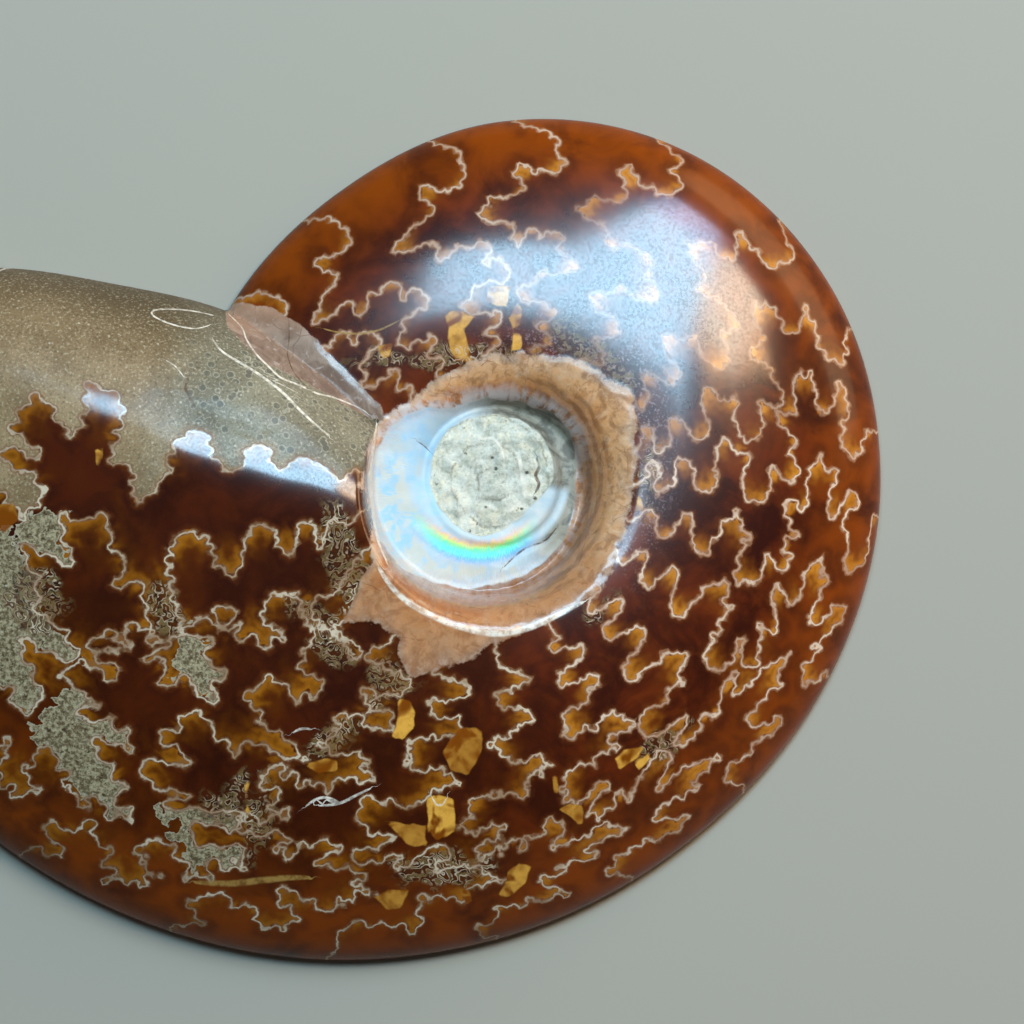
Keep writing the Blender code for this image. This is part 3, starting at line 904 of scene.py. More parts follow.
def blurred(values, rounds):
    for _ in range(rounds):
        total = (np.bincount(top_edges[:, 0], values[top_edges[:, 1]], len(top_x))
                 + np.bincount(top_edges[:, 1], values[top_edges[:, 0]], len(top_x)))
        values = 0.5 * values + 0.5 * total / neighbour_count
    return values


def narrowness(rounds):
    spread = 0.5 * POINTS_APART * rounds**0.5
    own_share = blurred(np.sign(seam_signed), rounds) * np.sign(seam_signed)
    beside_straight = np.tanh(0.8 * seam_distance / spread)
    return beside_straight - own_share


SMALL_BLUR, LARGE_BLUR = 36, 150       # rounds
fold_small = narrowness(SMALL_BLUR)
fold_large = narrowness(LARGE_BLUR)
print("narrowness goes up to", round(float(fold_small.max()), 2), "for small folds and",
      round(float(fold_large.max()), 2), "for large ones")

# %% [markdown]
# ## What else lies on the surface
#
# Around the navel the old shell was left on: a brown wall, broken off along its outer edge, and inside it
# the pearly turn of the younger shell around a plug of hardened sand. Each zone has an edge that is a list
# of directions and distances from the middle of the plug. A zone's number at a point is how far inside its
# edge the point lies, in millimetres, with noise added so that the edge is ragged.

# %% Edges of the zones around the navel, in degrees and millimetres
BROWN_WALL = ((-180, 10.7), (-160, 10.6), (-145, 12.2), (-136, 17.0), (-128, 15.2), (-120, 15.8),
              (-113, 18.0), (-105, 16.3), (-97, 15.3), (-90, 13.8), (-75, 13.1), (-60, 12.6), (-45, 12.9),
              (-30, 12.1), (-15, 11.6), (0, 11.9), (15, 12.5), (30, 13.5), (45, 12.5), (60, 11.6),
              (70, 10.9), (85, 10.4), (105, 9.8), (120, 9.4), (140, 9.5), (152, 10.4), (165, 10.6))
PEARL = ((-180, 10.2), (-165, 10.5), (-150, 10.7), (-135, 10.6), (-120, 10.0), (-90, 9.0), (-60, 8.2),
         (-45, 8.0), (-20, 7.2), (0, 7.0), (30, 7.5), (45, 7.4), (60, 6.9), (90, 6.6), (120, 6.7),
         (145, 9.0), (165, 9.9))
PLUG_EDGE = ((-180, 5.2), (-135, 5.0), (-103, 5.0), (-66, 4.1), (-30, 4.0), (0, 5.2), (45, 5.4), (90, 5.3),
             (140, 5.4))


def noise_at(x, y, size, seed, octaves=3):
    """Smooth noise around zero whose largest bumps are size millimetres wide."""
    places = zip(x / size + 7.3 * seed, y / size - 4.1 * seed)
    return np.array([fractal((a, b, 0.37 * seed), 1.0, 2.0, octaves) for a, b in places])


def inside_edge(edge, x, y):
    """How far inside a zone's edge, seen from the middle of the plug."""
    dx, dy = x - PLUG_CENTRE[0], y - PLUG_CENTRE[1]
    directions, distances = zip(*edge)
    limit = np.interp(np.degrees(np.arctan2(dy, dx)), directions, distances, period=360.0)
    return limit - np.hypot(dx, dy)


def inside_outline(outline, x, y):
    """Signed distance to a closed outline, positive inside it."""
    nearest = np.full(np.shape(x), np.inf)
    inside = np.zeros(np.shape(x), bool)
    for (ax, ay), (bx, by) in zip(outline, outline[1:] + outline[:1]):
        ex, ey = bx - ax, by - ay
        dx, dy, _ = past_piece(x, y, (ax, ay), (ex, ey))
        nearest = np.minimum(nearest, np.hypot(dx, dy))
        crosses = ((ay > y) != (by > y)) & (x < ax + (y - ay) * ex / (ey if ey else 1.0))
        inside ^= crosses
    return np.where(inside, nearest, -nearest)


print("points in the edges of the wall, the pearl and the plug:", len(BROWN_WALL), len(PEARL),
      len(PLUG_EDGE))

# %% [markdown]
# Small things lie all over the flank: flakes of clear gold calcite, lobes that sand has filled, thin
# strokes such as chips and cracks, and places where the folds crumpled. They are short lists in
# millimetres. Each becomes one more number per point, which says how far inside it the point is.

# %% The strip beside the mouth, flakes and sand-filled lobes
SHELL_STRIP = ((-22.7, 13.8), (-22.0, 14.6), (-19.3, 14.4), (-16.4, 12.8), (-12.7, 9.2), (-9.6, 5.9),
               (-9.4, 4.8), (-10.6, 5.0), (-14.3, 7.1), (-19.6, 9.8), (-22.4, 12.6))

# Flakes of gold calcite: how bright, and the corners.
FLAKES = (
    (1.0, (-8.1, -18.3), (-7.2, -18.5), (-6.7, -19.5), (-6.8, -20.7), (-7.8, -21.7), (-8.7, -21.5),
     (-8.3, -20.0)),
    (1.3, (-5.8, -26.5), (-4.6, -26.2), (-3.6, -26.7), (-3.4, -29.3), (-4.9, -30.2), (-5.7, -29.3)),
    (0.45, (-9.4, -28.4), (-7.6, -28.7), (-5.9, -28.8), (-5.8, -30.5), (-6.9, -30.7), (-8.1, -29.8)),
    (0.3, (-3.2, -20.7), (-1.9, -20.7), (-1.2, -21.0), (-1.2, -22.5), (-2.4, -24.7), (-3.9, -24.2),
     (-4.6, -22.7)),
    (0.6, (-15.9, -23.8), (-14.2, -23.2), (-13.2, -23.3), (-13.2, -24.3), (-14.8, -24.5)),
    (0.5, (-10.3, -34.8), (-9.1, -34.2), (-7.3, -34.2), (-7.9, -35.7), (-9.1, -35.9)),
    (0.75, (0.9, -32.7), (1.8, -32.0), (2.8, -32.3), (2.4, -33.7), (1.1, -34.8), (0.2, -34.7),
     (0.6, -33.7)),
    (0.5, (-3.2, -34.2), (-2.4, -34.1), (-1.9, -35.2), (-2.6, -35.5)),
    (0.8, (-4.3, 13.5), (-3.9, 14.0), (-2.6, 13.8), (-1.8, 13.4), (-2.7, 12.3), (-2.0, 9.7), (-3.4, 9.7),
     (-4.0, 10.7), (-4.1, 12.5)),
    (0.7, (-0.6, 16.0), (1.2, 16.0), (0.8, 14.2), (-0.1, 14.2), (-1.0, 14.8)),
    (0.9, (1.8, 14.6), (2.1, 14.0), (1.9, 12.7), (1.3, 12.4), (0.9, 13.3)),
    (1.0, (1.4, 12.3), (2.1, 11.8), (2.1, 10.7), (1.2, 10.5)),
    (1.1, (-9.9, 11.0), (-8.7, 11.2), (-8.9, 10.2), (-9.4, 9.9), (-9.8, 10.5)),
    (1.0, (9.8, -23.3), (10.6, -22.5), (12.2, -22.3), (11.8, -23.2), (10.2, -24.2)),
    (1.0, (11.2, -23.8), (12.6, -22.8), (12.8, -23.3), (11.8, -24.2)),
    (0.65, (5.2, -27.5), (6.1, -27.0), (7.2, -27.2), (7.2, -28.7), (6.8, -28.9), (6.1, -28.2)),
    (1.0, (11.7, -1.3), (12.2, -2.0), (12.1, -2.7), (11.4, -2.8)),
    (0.4, (-41.4, -2.2), (-39.9, -2.1), (-39.6, -3.5), (-40.8, -4.5), (-41.4, -4.2)),
    (0.8, (-33.3, 2.3), (-32.6, 2.6), (-32.8, 0.8), (-33.2, 1.0)),
    (0.9, (-20.9, -25.3), (-20.5, -25.2), (-20.8, -26.8), (-20.4, -28.0), (-20.9, -27.8)),
    (0.4, (4.5, -24.8), (4.9, -24.7), (5.2, -26.0), (4.8, -26.2)),
)
# Lobes that sand has filled: the growth of the seam they belong to, and a rough outline.
SAND_LEAVES = (
    (302, (-48.1, -1.8), (-40.2, -4.8), (-38.2, -6.8), (-37.6, -10.2), (-36.4, -12.2), (-34.1, -14.3),
     (-33.8, -16.2), (-36.4, -16.8), (-37.2, -18.5), (-38.9, -20.6), (-42.2, -17.7), (-48.1, -18.5)),
    (302, (-39.6, -2.5), (-36.2, -2.8), (-34.1, -8.3), (-36.6, -9.0), (-40.4, -5.6)),
    (287, (-36.1, -17.2), (-33.4, -17.7), (-28.9, -19.2), (-28.9, -24.8), (-29.1, -29.3), (-33.1, -27.8),
     (-36.4, -24.8), (-39.1, -21.7)),
    (287, (-26.4, -12.7), (-22.8, -12.7), (-21.0, -16.8), (-22.1, -19.8), (-25.4, -19.0), (-26.8, -15.8)),
    (273, (-27.8, -26.7), (-23.5, -27.0), (-19.6, -29.3), (-19.6, -34.3), (-23.8, -34.2), (-26.6, -30.3)),
)
print(len(FLAKES), "flakes and", len(SAND_LEAVES), "lobes of sand")

# %% [markdown]
# Strokes are chips, needles of crystal, cracks and edges, and two pale ones are painted highlights along
# rounded edges of the navel. Each has a kind, half its width and its points, and tapers to its ends. The
# distance to it is signed, like the distance to a seam and for the same reason.

# %% Thin strokes
STROKES = (
    ("gold", 0.1, (-14.4, 12.4), (-13.1, 12.1), (-11.4, 12.0), (-9.8, 12.3), (-8.1, 13.1)),
    ("light", 0.13, (-14.8, -27.2), (-13.1, -27.0), (-11.6, -26.3), (-10.4, -25.7)),
    ("light", 0.12, (-15.9, -27.3), (-15.1, -26.7), (-14.2, -26.5), (-13.2, -26.8)),
    ("light", 0.12, (-16.9, -21.1), (-16.2, -20.8), (-15.4, -20.8)),
    ("gold", 0.3, (-25.1, -33.6), (-22.2, -33.7), (-19.3, -33.4), (-17.2, -33.2), (-15.5, -33.2)),
    ("light", 0.07, (-23.5, 13.5), (-24.8, 13.8), (-26.4, 14.0), (-28.1, 14.0), (-28.7, 13.7),
     (-28.1, 13.2), (-26.8, 12.7), (-25.1, 12.4), (-23.8, 12.7)),
    ("light", 0.08, (-22.4, 13.7), (-21.2, 12.5), (-20.8, 11.5), (-19.9, 10.2), (-18.9, 9.2), (-17.9, 8.3),
     (-16.4, 7.7), (-14.9, 7.0), (-13.6, 6.7), (-11.4, 5.8), (-10.6, 5.2)),
    ("light", 0.12, (-23.6, 11.5), (-22.8, 10.5), (-21.2, 9.5), (-19.9, 8.7), (-17.9, 7.2), (-16.4, 5.7),
     (-14.9, 4.3), (-13.9, 3.5)),
    ("dark", 0.14, (-25.5, 8.3), (-25.8, 7.5), (-25.4, 6.6), (-24.8, 5.6)),
    ("dark", 0.05, (-17.3, 13.0), (-17.3, 11.5), (-17.4, 10.2), (-16.8, 8.7), (-15.6, 7.3)),
    ("dark", 0.1, (4.9, -4.2), (4.0, -5.2), (2.5, -5.8), (1.5, -6.5), (0.6, -7.4)),
    ("light", 0.22, (1.8, 2.0), (2.1, 0.3), (2.3, -1.3), (1.8, -2.2), (0.9, -2.8)),
    ("dark", 0.16, (3.3, 1.6), (3.5, 0.9), (3.2, 0.2), (3.5, -0.5), (3.2, -1.2)),
    ("light", 0.13, (-1.4, 3.2), (-0.4, 3.3), (0.3, 2.6), (0.6, 1.6)),
    ("dark", 0.06, (-6.7, 3.1), (-6.1, 2.7), (-5.5, 2.1)),
    # Painted highlight: the window mirrored along the rounded crest of the wall below the navel.
    ("light", 0.3, (-9.8, -7.4), (-8.9, -8.8), (-7.5, -10.2), (-5.4, -11.4), (-2.8, -12.4), (-0.2, -12.9),
     (2.4, -12.5), (5.0, -11.4), (7.1, -10.3)),
    ("light", 0.1, (-5.3, -26.6), (-5.0, -27.1), (-4.5, -27.1), (-4.2, -26.6)),
    # Painted highlight along the left edge of the pearl, where the rim of the old shell catches the window.
    ("light", 0.14, (-10.0, 4.5), (-10.3, 2.3), (-10.5, 0.0), (-10.3, -2.7), (-9.9, -5.0), (-9.1, -7.0)),
    ("dark", 0.12, (-10.7, 3.2), (-10.9, 0.7), (-10.9, -1.8), (-10.7, -3.9)),
    ("light", 0.08, (-41.4, 17.3), (-40.8, 17.5), (-39.9, 17.6)),
    ("light", 0.06, (-27.4, 9.7), (-26.6, 9.2), (-25.8, 8.2)),
)
KINDS = ("light", "dark", "gold")
print(len(STROKES), "strokes")

# %% [markdown]
# In some places the folds crumpled into fronds of sand and lime. Their details are drawn by the material, so
# an oval is enough to say where they are: its middle, half its length, half its width and its turn.

# %% Crumpled places, and how far inside each kind of small thing a point is
FRONDS = ((-12.7, -6.8, 4.6, 1.9, 105), (-9.2, -16.2, 2.3, 1.3, -15), (-13.3, -21.1, 2.8, 1.2, 35),
          (-9.8, -18.7, 1.7, 0.9, 30), (-19.6, -28.1, 3.2, 1.5, 80), (-4.8, -32.4, 4.2, 1.6, 5),
          (-15.4, -11.4, 2.0, 1.2, -30), (-12.7, -14.3, 2.5, 1.2, -25), (-27.4, -11.2, 2.7, 1.2, -60),
          (13.6, -22.2, 2.4, 1.1, 50), (12.5, 0.7, 2.6, 0.8, 85), (-3.5, 10.1, 6.5, 0.9, 5),
          (8.3, -11.2, 2.0, 1.0, 30), (7.8, 10.2, 4.0, 1.6, -35), (-38.1, -10.2, 3.0, 2.6, -45),
          (-22.7, -26.8, 2.4, 1.4, 40))


def soft_step(value, low, high):
    t = np.clip((value - low) / (high - low), 0.0, 1.0)
    return t * t * (3.0 - 2.0 * t)


def inside_ovals(ovals, x, y):
    """How far inside the nearest of some ovals, in millimetres."""
    best = np.full(np.shape(x), -30.0)
    for cx, cy, half_long, half_wide, turn in ovals:
        c, s = math.cos(math.radians(turn)), math.sin(math.radians(turn))
        along, across = (x - cx) * c + (y - cy) * s, (y - cy) * c - (x - cx) * s
        best = np.maximum(best, (1.0 - np.hypot(along / half_long, across / half_wide)) * half_wide)
    return best


def stroke_fields(x, y):
    """Signed distance to the nearest stroke in half widths, and how much of each kind is there."""
    side, nearest = np.full(np.shape(x), 9.0), np.full(np.shape(x), np.inf)
    share = {kind: np.zeros(np.shape(x)) for kind in KINDS}
    for kind, half_width, *points in STROKES:
        line = smooth_through(points, 12 * len(points))
        low, high = line.min(axis=0) - 1.2, line.max(axis=0) + 1.2
        close = np.flatnonzero((x > low[0]) & (x < high[0]) & (y > low[1]) & (y < high[1]))
        start, (ex, ey) = line[:-1].T[:, :, None], np.diff(line, axis=0).T[:, :, None]
        dx, dy, along = past_piece(x[close], y[close], start, (ex, ey))
        gap = np.hypot(dx, dy)
        piece, column = np.argmin(gap, axis=0), np.arange(len(close))
        gap = gap[piece, column]
        way = (piece + along[piece, column]) / (len(line) - 1)
        width = half_width * (0.4 + 0.6 * np.sin(np.pi * np.clip(way, 0.0, 1.0))**0.5)
        turn = np.sign(ex[piece, 0] * dy[piece, column] - ey[piece, 0] * dx[piece, column])
        closer = gap < nearest[close]
        chosen = close[closer]
        nearest[chosen] = gap[closer]
        side[chosen] = (gap * np.where(turn == 0.0, 1.0, turn) / width)[closer]
        for other in share:
            share[other][chosen] = 0.0
        share[kind][chosen] = soft_step(-gap, -1.0, -0.6)[closer]
    return side, share


def inside_leaves(x, y):
    """How far inside a sand-filled lobe: inside its outline and on the mouth's side of its seam."""
    best = np.full(np.shape(x), -9.0)
    for growth, *outline in SAND_LEAVES:
        number = SEAM_GROWTHS.index(growth)
        own = np.where(chamber == number + 1, seam_distance, -seam_distance)
        frayed = inside_outline(outline, x, y) + 1.6 * leaf_noise
        best = np.maximum(best, np.minimum(frayed, own))
    return best


print(len(FRONDS), "crumpled places")

# %% [markdown]
# Every edge so far is smooth, and nothing in a stone is. So noise is added to most of the numbers before
# they are stored, coarse for the broken wall and finer for the flakes.

# %% The numbers of all zones
ragged = 0.5 * noise_at(top_x, top_y, 1.6, 3)
leaf_noise = noise_at(top_x, top_y, 1.1, 31)
leaf_in = inside_leaves(top_x, top_y)
stroke_side, stroke_share = stroke_fields(top_x, top_y)
flake_in, flake_shade = np.full(len(top_x), -9.0), np.zeros(len(top_x))
for shade, *corners in FLAKES:
    depth = inside_outline(corners, top_x, top_y)
    flake_shade = np.where(depth > flake_in, shade, flake_shade)
    flake_in = np.maximum(flake_in, depth)
flake_in += 0.12 * noise_at(top_x, top_y, 0.7, 21, 2)
frond_in = inside_ovals(FRONDS, top_x, top_y) + 0.9 * noise_at(top_x, top_y, 1.8, 23)
wall_in = inside_edge(BROWN_WALL, top_x, top_y) + ragged
pearl_in = inside_edge(PEARL, top_x, top_y) + 0.5 * ragged
plug_in = inside_edge(PLUG_EDGE, top_x, top_y) + 0.3 * ragged
strip_in = inside_outline(SHELL_STRIP, top_x, top_y) + 0.4 * ragged
print("points on the wall, the pearl, the plug:", int(np.sum(wall_in > 0)), int(np.sum(pearl_in > 0)),
      int(np.sum(plug_in > 0)))

# %% [markdown]
# ## Relief
#
# The polish left small steps. The wall's broken edge stands up a little from the calcite, the plug is
# rough, and the sand in the last chamber is pitted where it wasn't ground down. Below the mouth the wheel
# sank into the softer sand and left a shallow hollow, which mirrors a long band of the window. The steps
# are small enough to leave the outline of the solid alone, so they are moved straight up and down.

# %% Steps, pits and grains
WALL_STEP = 0.09
HOLLOW = ((-36.5, 8.4), (-33.0, 7.6), (-30.6, 7.1), (-28.0, 5.9), (-25.6, 4.7), (-23.1, 3.6), (-20.6, 2.9),
          (-18.1, 2.3), (-15.6, 1.8), (-13.5, 1.4))
HOLLOW_DEPTH = 0.45
HOLLOW_WIDTH = 1.5
HOLLOW_SLOPE = 0.87        # turns a distance straight up into one across the sloping band
PEARL_DROP = 0.15
PLUG_ROUGHNESS = 0.30
WALL_ROUGHNESS = 0.10
PIT_DEPTH = 0.07
HOOK_DEPTH = 0.20
CEILING_SOFTNESS = 0.3     # the crown stays just under the top of the solid

old_shell = np.maximum(soft_step(wall_in, -0.1, 0.9), soft_step(strip_in, -0.1, 0.7))
relief = WALL_STEP * old_shell
relief -= PEARL_DROP * soft_step(pearl_in, 0.0, 0.4)
relief += PLUG_ROUGHNESS * noise_at(top_x, top_y, 1.1, 5, 4) * soft_step(plug_in, -0.1, 0.5)
relief += WALL_ROUGHNESS * noise_at(top_x, top_y, 2.2, 8, 4) * soft_step(wall_in, 0.0, 0.6)
in_navel = soft_step(pearl_in, -0.5, 0.5)
relief -= HOOK_DEPTH * in_navel * stroke_share["dark"] * soft_step(-np.abs(stroke_side), -4.0, -0.5)
face_near_navel = soft_step(mouth_depth, 0.3, 1.2) * soft_step(sand_signed, 0.0, 0.8)
face_near_navel *= 1 - soft_step(top_radius, 24, 31)
pits = np.clip(noise_at(top_x, top_y, 0.9, 11, 2) - 0.15, 0.0, 1.0)
relief -= PIT_DEPTH * pits * face_near_navel
hollow_y = np.interp(top_x, *np.transpose(HOLLOW))
hollow = np.exp(-0.5 * ((top_y - hollow_y) * HOLLOW_SLOPE / HOLLOW_WIDTH)**2)
hollow *= (0.35 + 0.65 * soft_step(top_x, -31.0, -26.0)) * soft_step(top_x, -44.0, -36.0)
relief -= HOLLOW_DEPTH * hollow * soft_step(-top_x, 12.5, 19.0) * (1 - old_shell)
top_z = np.maximum(top_z + relief * soft_step(top_z, 0.6, 1.6), EDGE_BEVEL)
ceiling = HIGH.z / MM - 0.02
over = (top_z - ceiling) / CEILING_SOFTNESS + 1.0
top_z = np.where(over > 0.0, ceiling - CEILING_SOFTNESS * np.exp(-over), top_z)
print("the relief goes from", round(float(relief.min()), 2), "to", round(float(relief.max()), 2), "mm")

# %% [markdown]
# ## The cut face
#
# Below, the fossil is flat where the two halves were parted. The cut runs along the middle of the coil, so
# it shows the turns one inside the other and the chamber walls as plain arcs. Walls near the middle of an
# ammonite aren't frilled.

# %% Rings of the flat face
FACE_SPACING = 0.75
FACE_INSET = 0.3
FACE_RINGS = 46
WALL_BOW = 9.0             # how far a chamber wall bows forward in its middle, in degrees
WALL_LEAD = 8.0            # a wall stands ahead of its seam, whose folds are counted from their roots
TURNS_SHOWN = 5

face_rings = [(EDGE - FACE_INSET) * k / FACE_RINGS for k in range(1, FACE_RINGS + 1)]
face_x, face_y, face_faces, face_rim = disc_mesh(face_rings, FACE_SPACING)
face_radius, face_growth = np.hypot(face_x, face_y), growth_at(face_x, face_y)


def section_fields():
    """Signed distances to the spiral wall and to the chamber walls in the plane of the cut."""
    turns = np.stack([outer_radius(face_growth - 360.0 * k) for k in range(TURNS_SHOWN)])
    ring = np.sum(face_radius < turns, axis=0)
    spiral = np.min(np.abs(turns - face_radius), axis=0) * np.where(ring % 2 == 0, 1.0, -1.0)
    outer = outer_radius(face_growth - 360.0 * (ring - 1))
    inner = outer / RADIUS_PER_TURN
    across = np.clip((face_radius - inner) / (outer - inner), 0.0, 1.0)
    growth = face_growth - 360.0 * (ring - 1) + WALL_BOW * np.sin(np.pi * across)
    walls = np.array(SEAM_GROWTHS) + WALL_LEAD
    walls = np.concatenate([walls[walls > -20] - 360.0 * k for k in range(TURNS_SHOWN)])
    walls = np.sort(walls[walls < 335])
    after = np.searchsorted(walls, growth)
    gap = np.min(np.abs(walls[None, :] - growth[:, None]), axis=1)
    wall = np.radians(gap) * face_radius * np.where(after % 2 == 0, 1.0, -1.0)
    return spiral, wall, after, (growth > walls[-1]).astype(float)


face_spiral, face_wall, face_chamber, face_sand = section_fields()
print("the cut face has", len(face_x), "points")

# %% [markdown]
# Dome, cut face and a narrow band between their rims become one closed mesh with two materials. One piece
# stands for one solid, and no gap can open between them. The piece rides on the frame's only body and
# replaces the plain solid.

# %% One closed mesh from both
def joined_mesh():
    offset = len(top_x)
    x = np.concatenate((top_x, face_x)) * MM
    y = np.concatenate((top_y, face_y)) * MM
    z = np.concatenate((top_z, np.zeros(len(face_x)))) * MM
    faces = list(top_faces)
    faces += [tuple(offset + v for v in reversed(face)) for face in face_faces]
    rim_ring, rim_angles = rim
    face_ring, face_angles = face_rim
    band = zip_rings(rim_ring, rim_angles, [offset + v for v in face_ring], face_angles)
    faces += band
    mesh = bpy.data.meshes.new("fossil")
    mesh.from_pydata(np.stack((x, y, z), axis=1).tolist(), [], faces)
    mesh.polygons.foreach_set("use_smooth", [True] * len(faces))
    slots = [0] * len(top_faces) + [1] * len(face_faces) + [0] * len(band)
    mesh.polygons.foreach_set("material_index", slots)
    mesh.update()
    return mesh


def store(mesh, name, top_values, face_values=None):
    """A number per point that the material can read by name."""
    face_values = np.zeros(len(face_x)) if face_values is None else face_values
    layer = mesh.attributes.new(name, "FLOAT", "POINT")
    layer.data.foreach_set("value", np.concatenate((top_values, face_values)).astype(np.float32))


mesh = joined_mesh()
fossil = bpy.data.objects.new("fossil", mesh)
bpy.context.collection.objects.link(fossil)
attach(fossil, "root")
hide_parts("ammonite_half")
print("the mesh has", len(mesh.polygons), "triangles")

# %% [markdown]
# ## Numbers for the paint
#
# The material knows nothing of seams or zones. It gets one number per point for each of them and does
# the rest by thresholds and colour ramps.

# %% Store the numbers
chamber_shade = np.random.default_rng(3).uniform(0.0, 1.0, 400)     # a little different in each chamber
stored = {
    "seam": seam_signed, "turn": seam_turn, "narrow": fold_small, "narrow_wide": fold_large,
    "rim_share": np.clip(top_reach, 0.0, 1.1), "growth": top_growth / 360.0, "lip": mouth_depth,
    "leaf": leaf_in, "pitted": face_near_navel, "frond": frond_in, "flake": flake_in,
    "flake_shade": flake_shade, "stroke": stroke_side, "wall": wall_in, "strip": strip_in,
    "pearl": pearl_in, "plug": plug_in,
}
for name, values in stored.items():
    store(mesh, name, values)
for kind, share in stroke_share.items():
    store(mesh, "stroke_" + kind, share)
nothing = np.zeros(len(top_x))
store(mesh, "chamber", chamber_shade[chamber], chamber_shade[face_chamber % len(chamber_shade)])
store(mesh, "sand", sand_signed, face_sand)
store(mesh, "spiral", nothing, face_spiral)
store(mesh, "septum", nothing, face_wall)
print("each point carries", len(stored) + len(stroke_share) + 4, "numbers")

# %% [markdown]
# ## A short way to write nodes
#
# A node tree is long to write by hand. These two little classes add a node, set it up and return what comes
# out of it. A value can be reckoned with, so that a recipe reads like a formula: each sign adds a maths
# node. Colours are given as they look on a screen and changed to linear light.

# %% Node helpers
def colour(red, green, blue):
    """A screen colour from 0 to 255 as linear light."""
    return tuple((c / 255 / 12.92 if c < 10.3 else ((c / 255 + 0.055) / 1.055)**2.4)
                 for c in (red, green, blue)) + (1.0,)


class Value:
    """What comes out of a node."""

    def __init__(self, nodes, socket):
        self.nodes, self.socket = nodes, socket

    def __add__(self, other):
        return self.nodes.math("ADD", self, other)

    def __sub__(self, other):
        return self.nodes.math("SUBTRACT", self, other)

    def __rsub__(self, other):
        return self.nodes.math("SUBTRACT", other, self)

    def __mul__(self, other):
        return self.nodes.math("MULTIPLY", self, other)

    def __truediv__(self, other):
        return self.nodes.math("DIVIDE", self, other)

    def __abs__(self):
        return self.nodes.math("ABSOLUTE", self)


class Nodes:
    """Adds nodes to one tree."""

    def __init__(self, tree):
        self.tree = tree

    def feed(self, socket, value):
        """Link a value to an input, or set the input to a plain number or colour."""
        if isinstance(value, Value):
            self.tree.links.new(value.socket, socket)
        else:
            socket.default_value = value

    def add(self, kind, inputs=(), output=0, **settings):
        node = self.tree.nodes.new(kind)
        for name, value in settings.items():
            setattr(node, name, value)
        for name, value in dict(inputs).items():
            self.feed(node.inputs[name], value)
        return Value(self, node.outputs[output])

    def number(self, name):
        """A number that is stored at each point of the mesh."""
        return self.add("ShaderNodeAttribute", output="Fac", attribute_name=name)

    def math(self, operation, *values):
        return self.add("ShaderNodeMath", dict(enumerate(values)), operation=operation)

    def larger(self, a, b):
        return self.math("MAXIMUM", a, b)

    def smaller(self, a, b):
        return self.math("MINIMUM", a, b)

    def step(self, value, low, high):
        """0 below low, 1 above high and smooth between them; falls instead where high is the smaller."""
        return self.add("ShaderNodeMapRange", {"Value": value, "From Min": low, "From Max": high},
                        interpolation_type="SMOOTHSTEP")

    def between(self, share, a, b):
        """A number on its way from a to b."""
        return self.add("ShaderNodeMix", {0: share, 2: a, 3: b})

    def mix(self, share, a, b):
        """A colour on its way from a to b; as paint, share is how well b covers a."""
        return self.add("ShaderNodeMix", {0: share, 6: a, 7: b}, output=2, data_type="RGBA")

    def noise(self, place, size, detail=3.0, rough=0.55, distortion=0.0):
        return self.add("ShaderNodeTexNoise", {"Vector": place, "Scale": 1.0 / size, "Detail": detail,
                                               "Roughness": rough, "Distortion": distortion})

    def warped(self, place, size, amount):
        """The same place pushed about by noise, so that what is drawn there comes out frayed."""
        push = self.add("ShaderNodeTexNoise", {"Vector": place, "Scale": 1.0 / size, "Detail": 2.0},
                        output="Color")
        push = self.add("ShaderNodeVectorMath", {0: push, 1: (0.5, 0.5, 0.5)}, operation="SUBTRACT")
        push = self.add("ShaderNodeVectorMath", {0: push, "Scale": amount}, operation="SCALE")
        return self.add("ShaderNodeVectorMath", {0: place, 1: push})

    def cells(self, place, size, feature="F1"):
        return self.add("ShaderNodeTexVoronoi", {"Vector": place, "Scale": 1.0 / size}, feature=feature)

    def ramp(self, value, *stops):
        node = self.tree.nodes.new("ShaderNodeValToRGB")
        self.feed(node.inputs[0], value)
        while len(node.color_ramp.elements) < len(stops):
            node.color_ramp.elements.new(0.5)
        for element, (place, shade) in zip(node.color_ramp.elements, stops):
            element.position, element.color = place, shade
        return Value(self, node.outputs[0])

    def place(self):
        """Where the point is, in millimetres."""
        where = self.add("ShaderNodeTexCoord", output="Object")
        return self.add("ShaderNodeVectorMath", {0: where, "Scale": 1.0 / MM}, operation="SCALE")

    def group(self, tree, **inputs):
        """A node group. Returns its value, or a list of them where it has several outputs."""
        node = self.tree.nodes.new("ShaderNodeGroup")
        node.node_tree = tree
        for name, value in inputs.items():
            self.feed(node.inputs[name], value)
        results = [Value(self, socket) for socket in node.outputs]
        return results if len(results) > 1 else results[0]


COLOUR, NUMBER = "NodeSocketColor", "NodeSocketFloat"


def new_group(name, inputs, outputs):
    """A node group with number inputs; each output is a pair of a name and a kind of socket."""
    tree = bpy.data.node_groups.new(name, "ShaderNodeTree")
    for one in inputs:
        tree.interface.new_socket(one, in_out="INPUT", socket_type=NUMBER)
    for one, kind in outputs:
        tree.interface.new_socket(one, in_out="OUTPUT", socket_type=kind)
    nodes = Nodes(tree)
    arrive, leave = tree.nodes.new("NodeGroupInput"), tree.nodes.new("NodeGroupOutput")
    given = {one: Value(nodes, arrive.outputs[one]) for one in inputs}

    def give(**results):
        for result, value in results.items():
            nodes.feed(leave.inputs[result], value)

    return nodes, given, give


def built(make):
    """Make a node group and say how large it is."""
    tree = make()
    print("the group", tree.name, "has", len(tree.nodes), "nodes")
    return tree


def new_material(name):
    material = bpy.data.materials.new(name)
    material.use_nodes = True
    return material, Nodes(material.node_tree), material.node_tree.nodes["Principled BSDF"]


print("a middle grey of 128 on the screen is", round(colour(128, 128, 128)[0], 3), "in linear light")

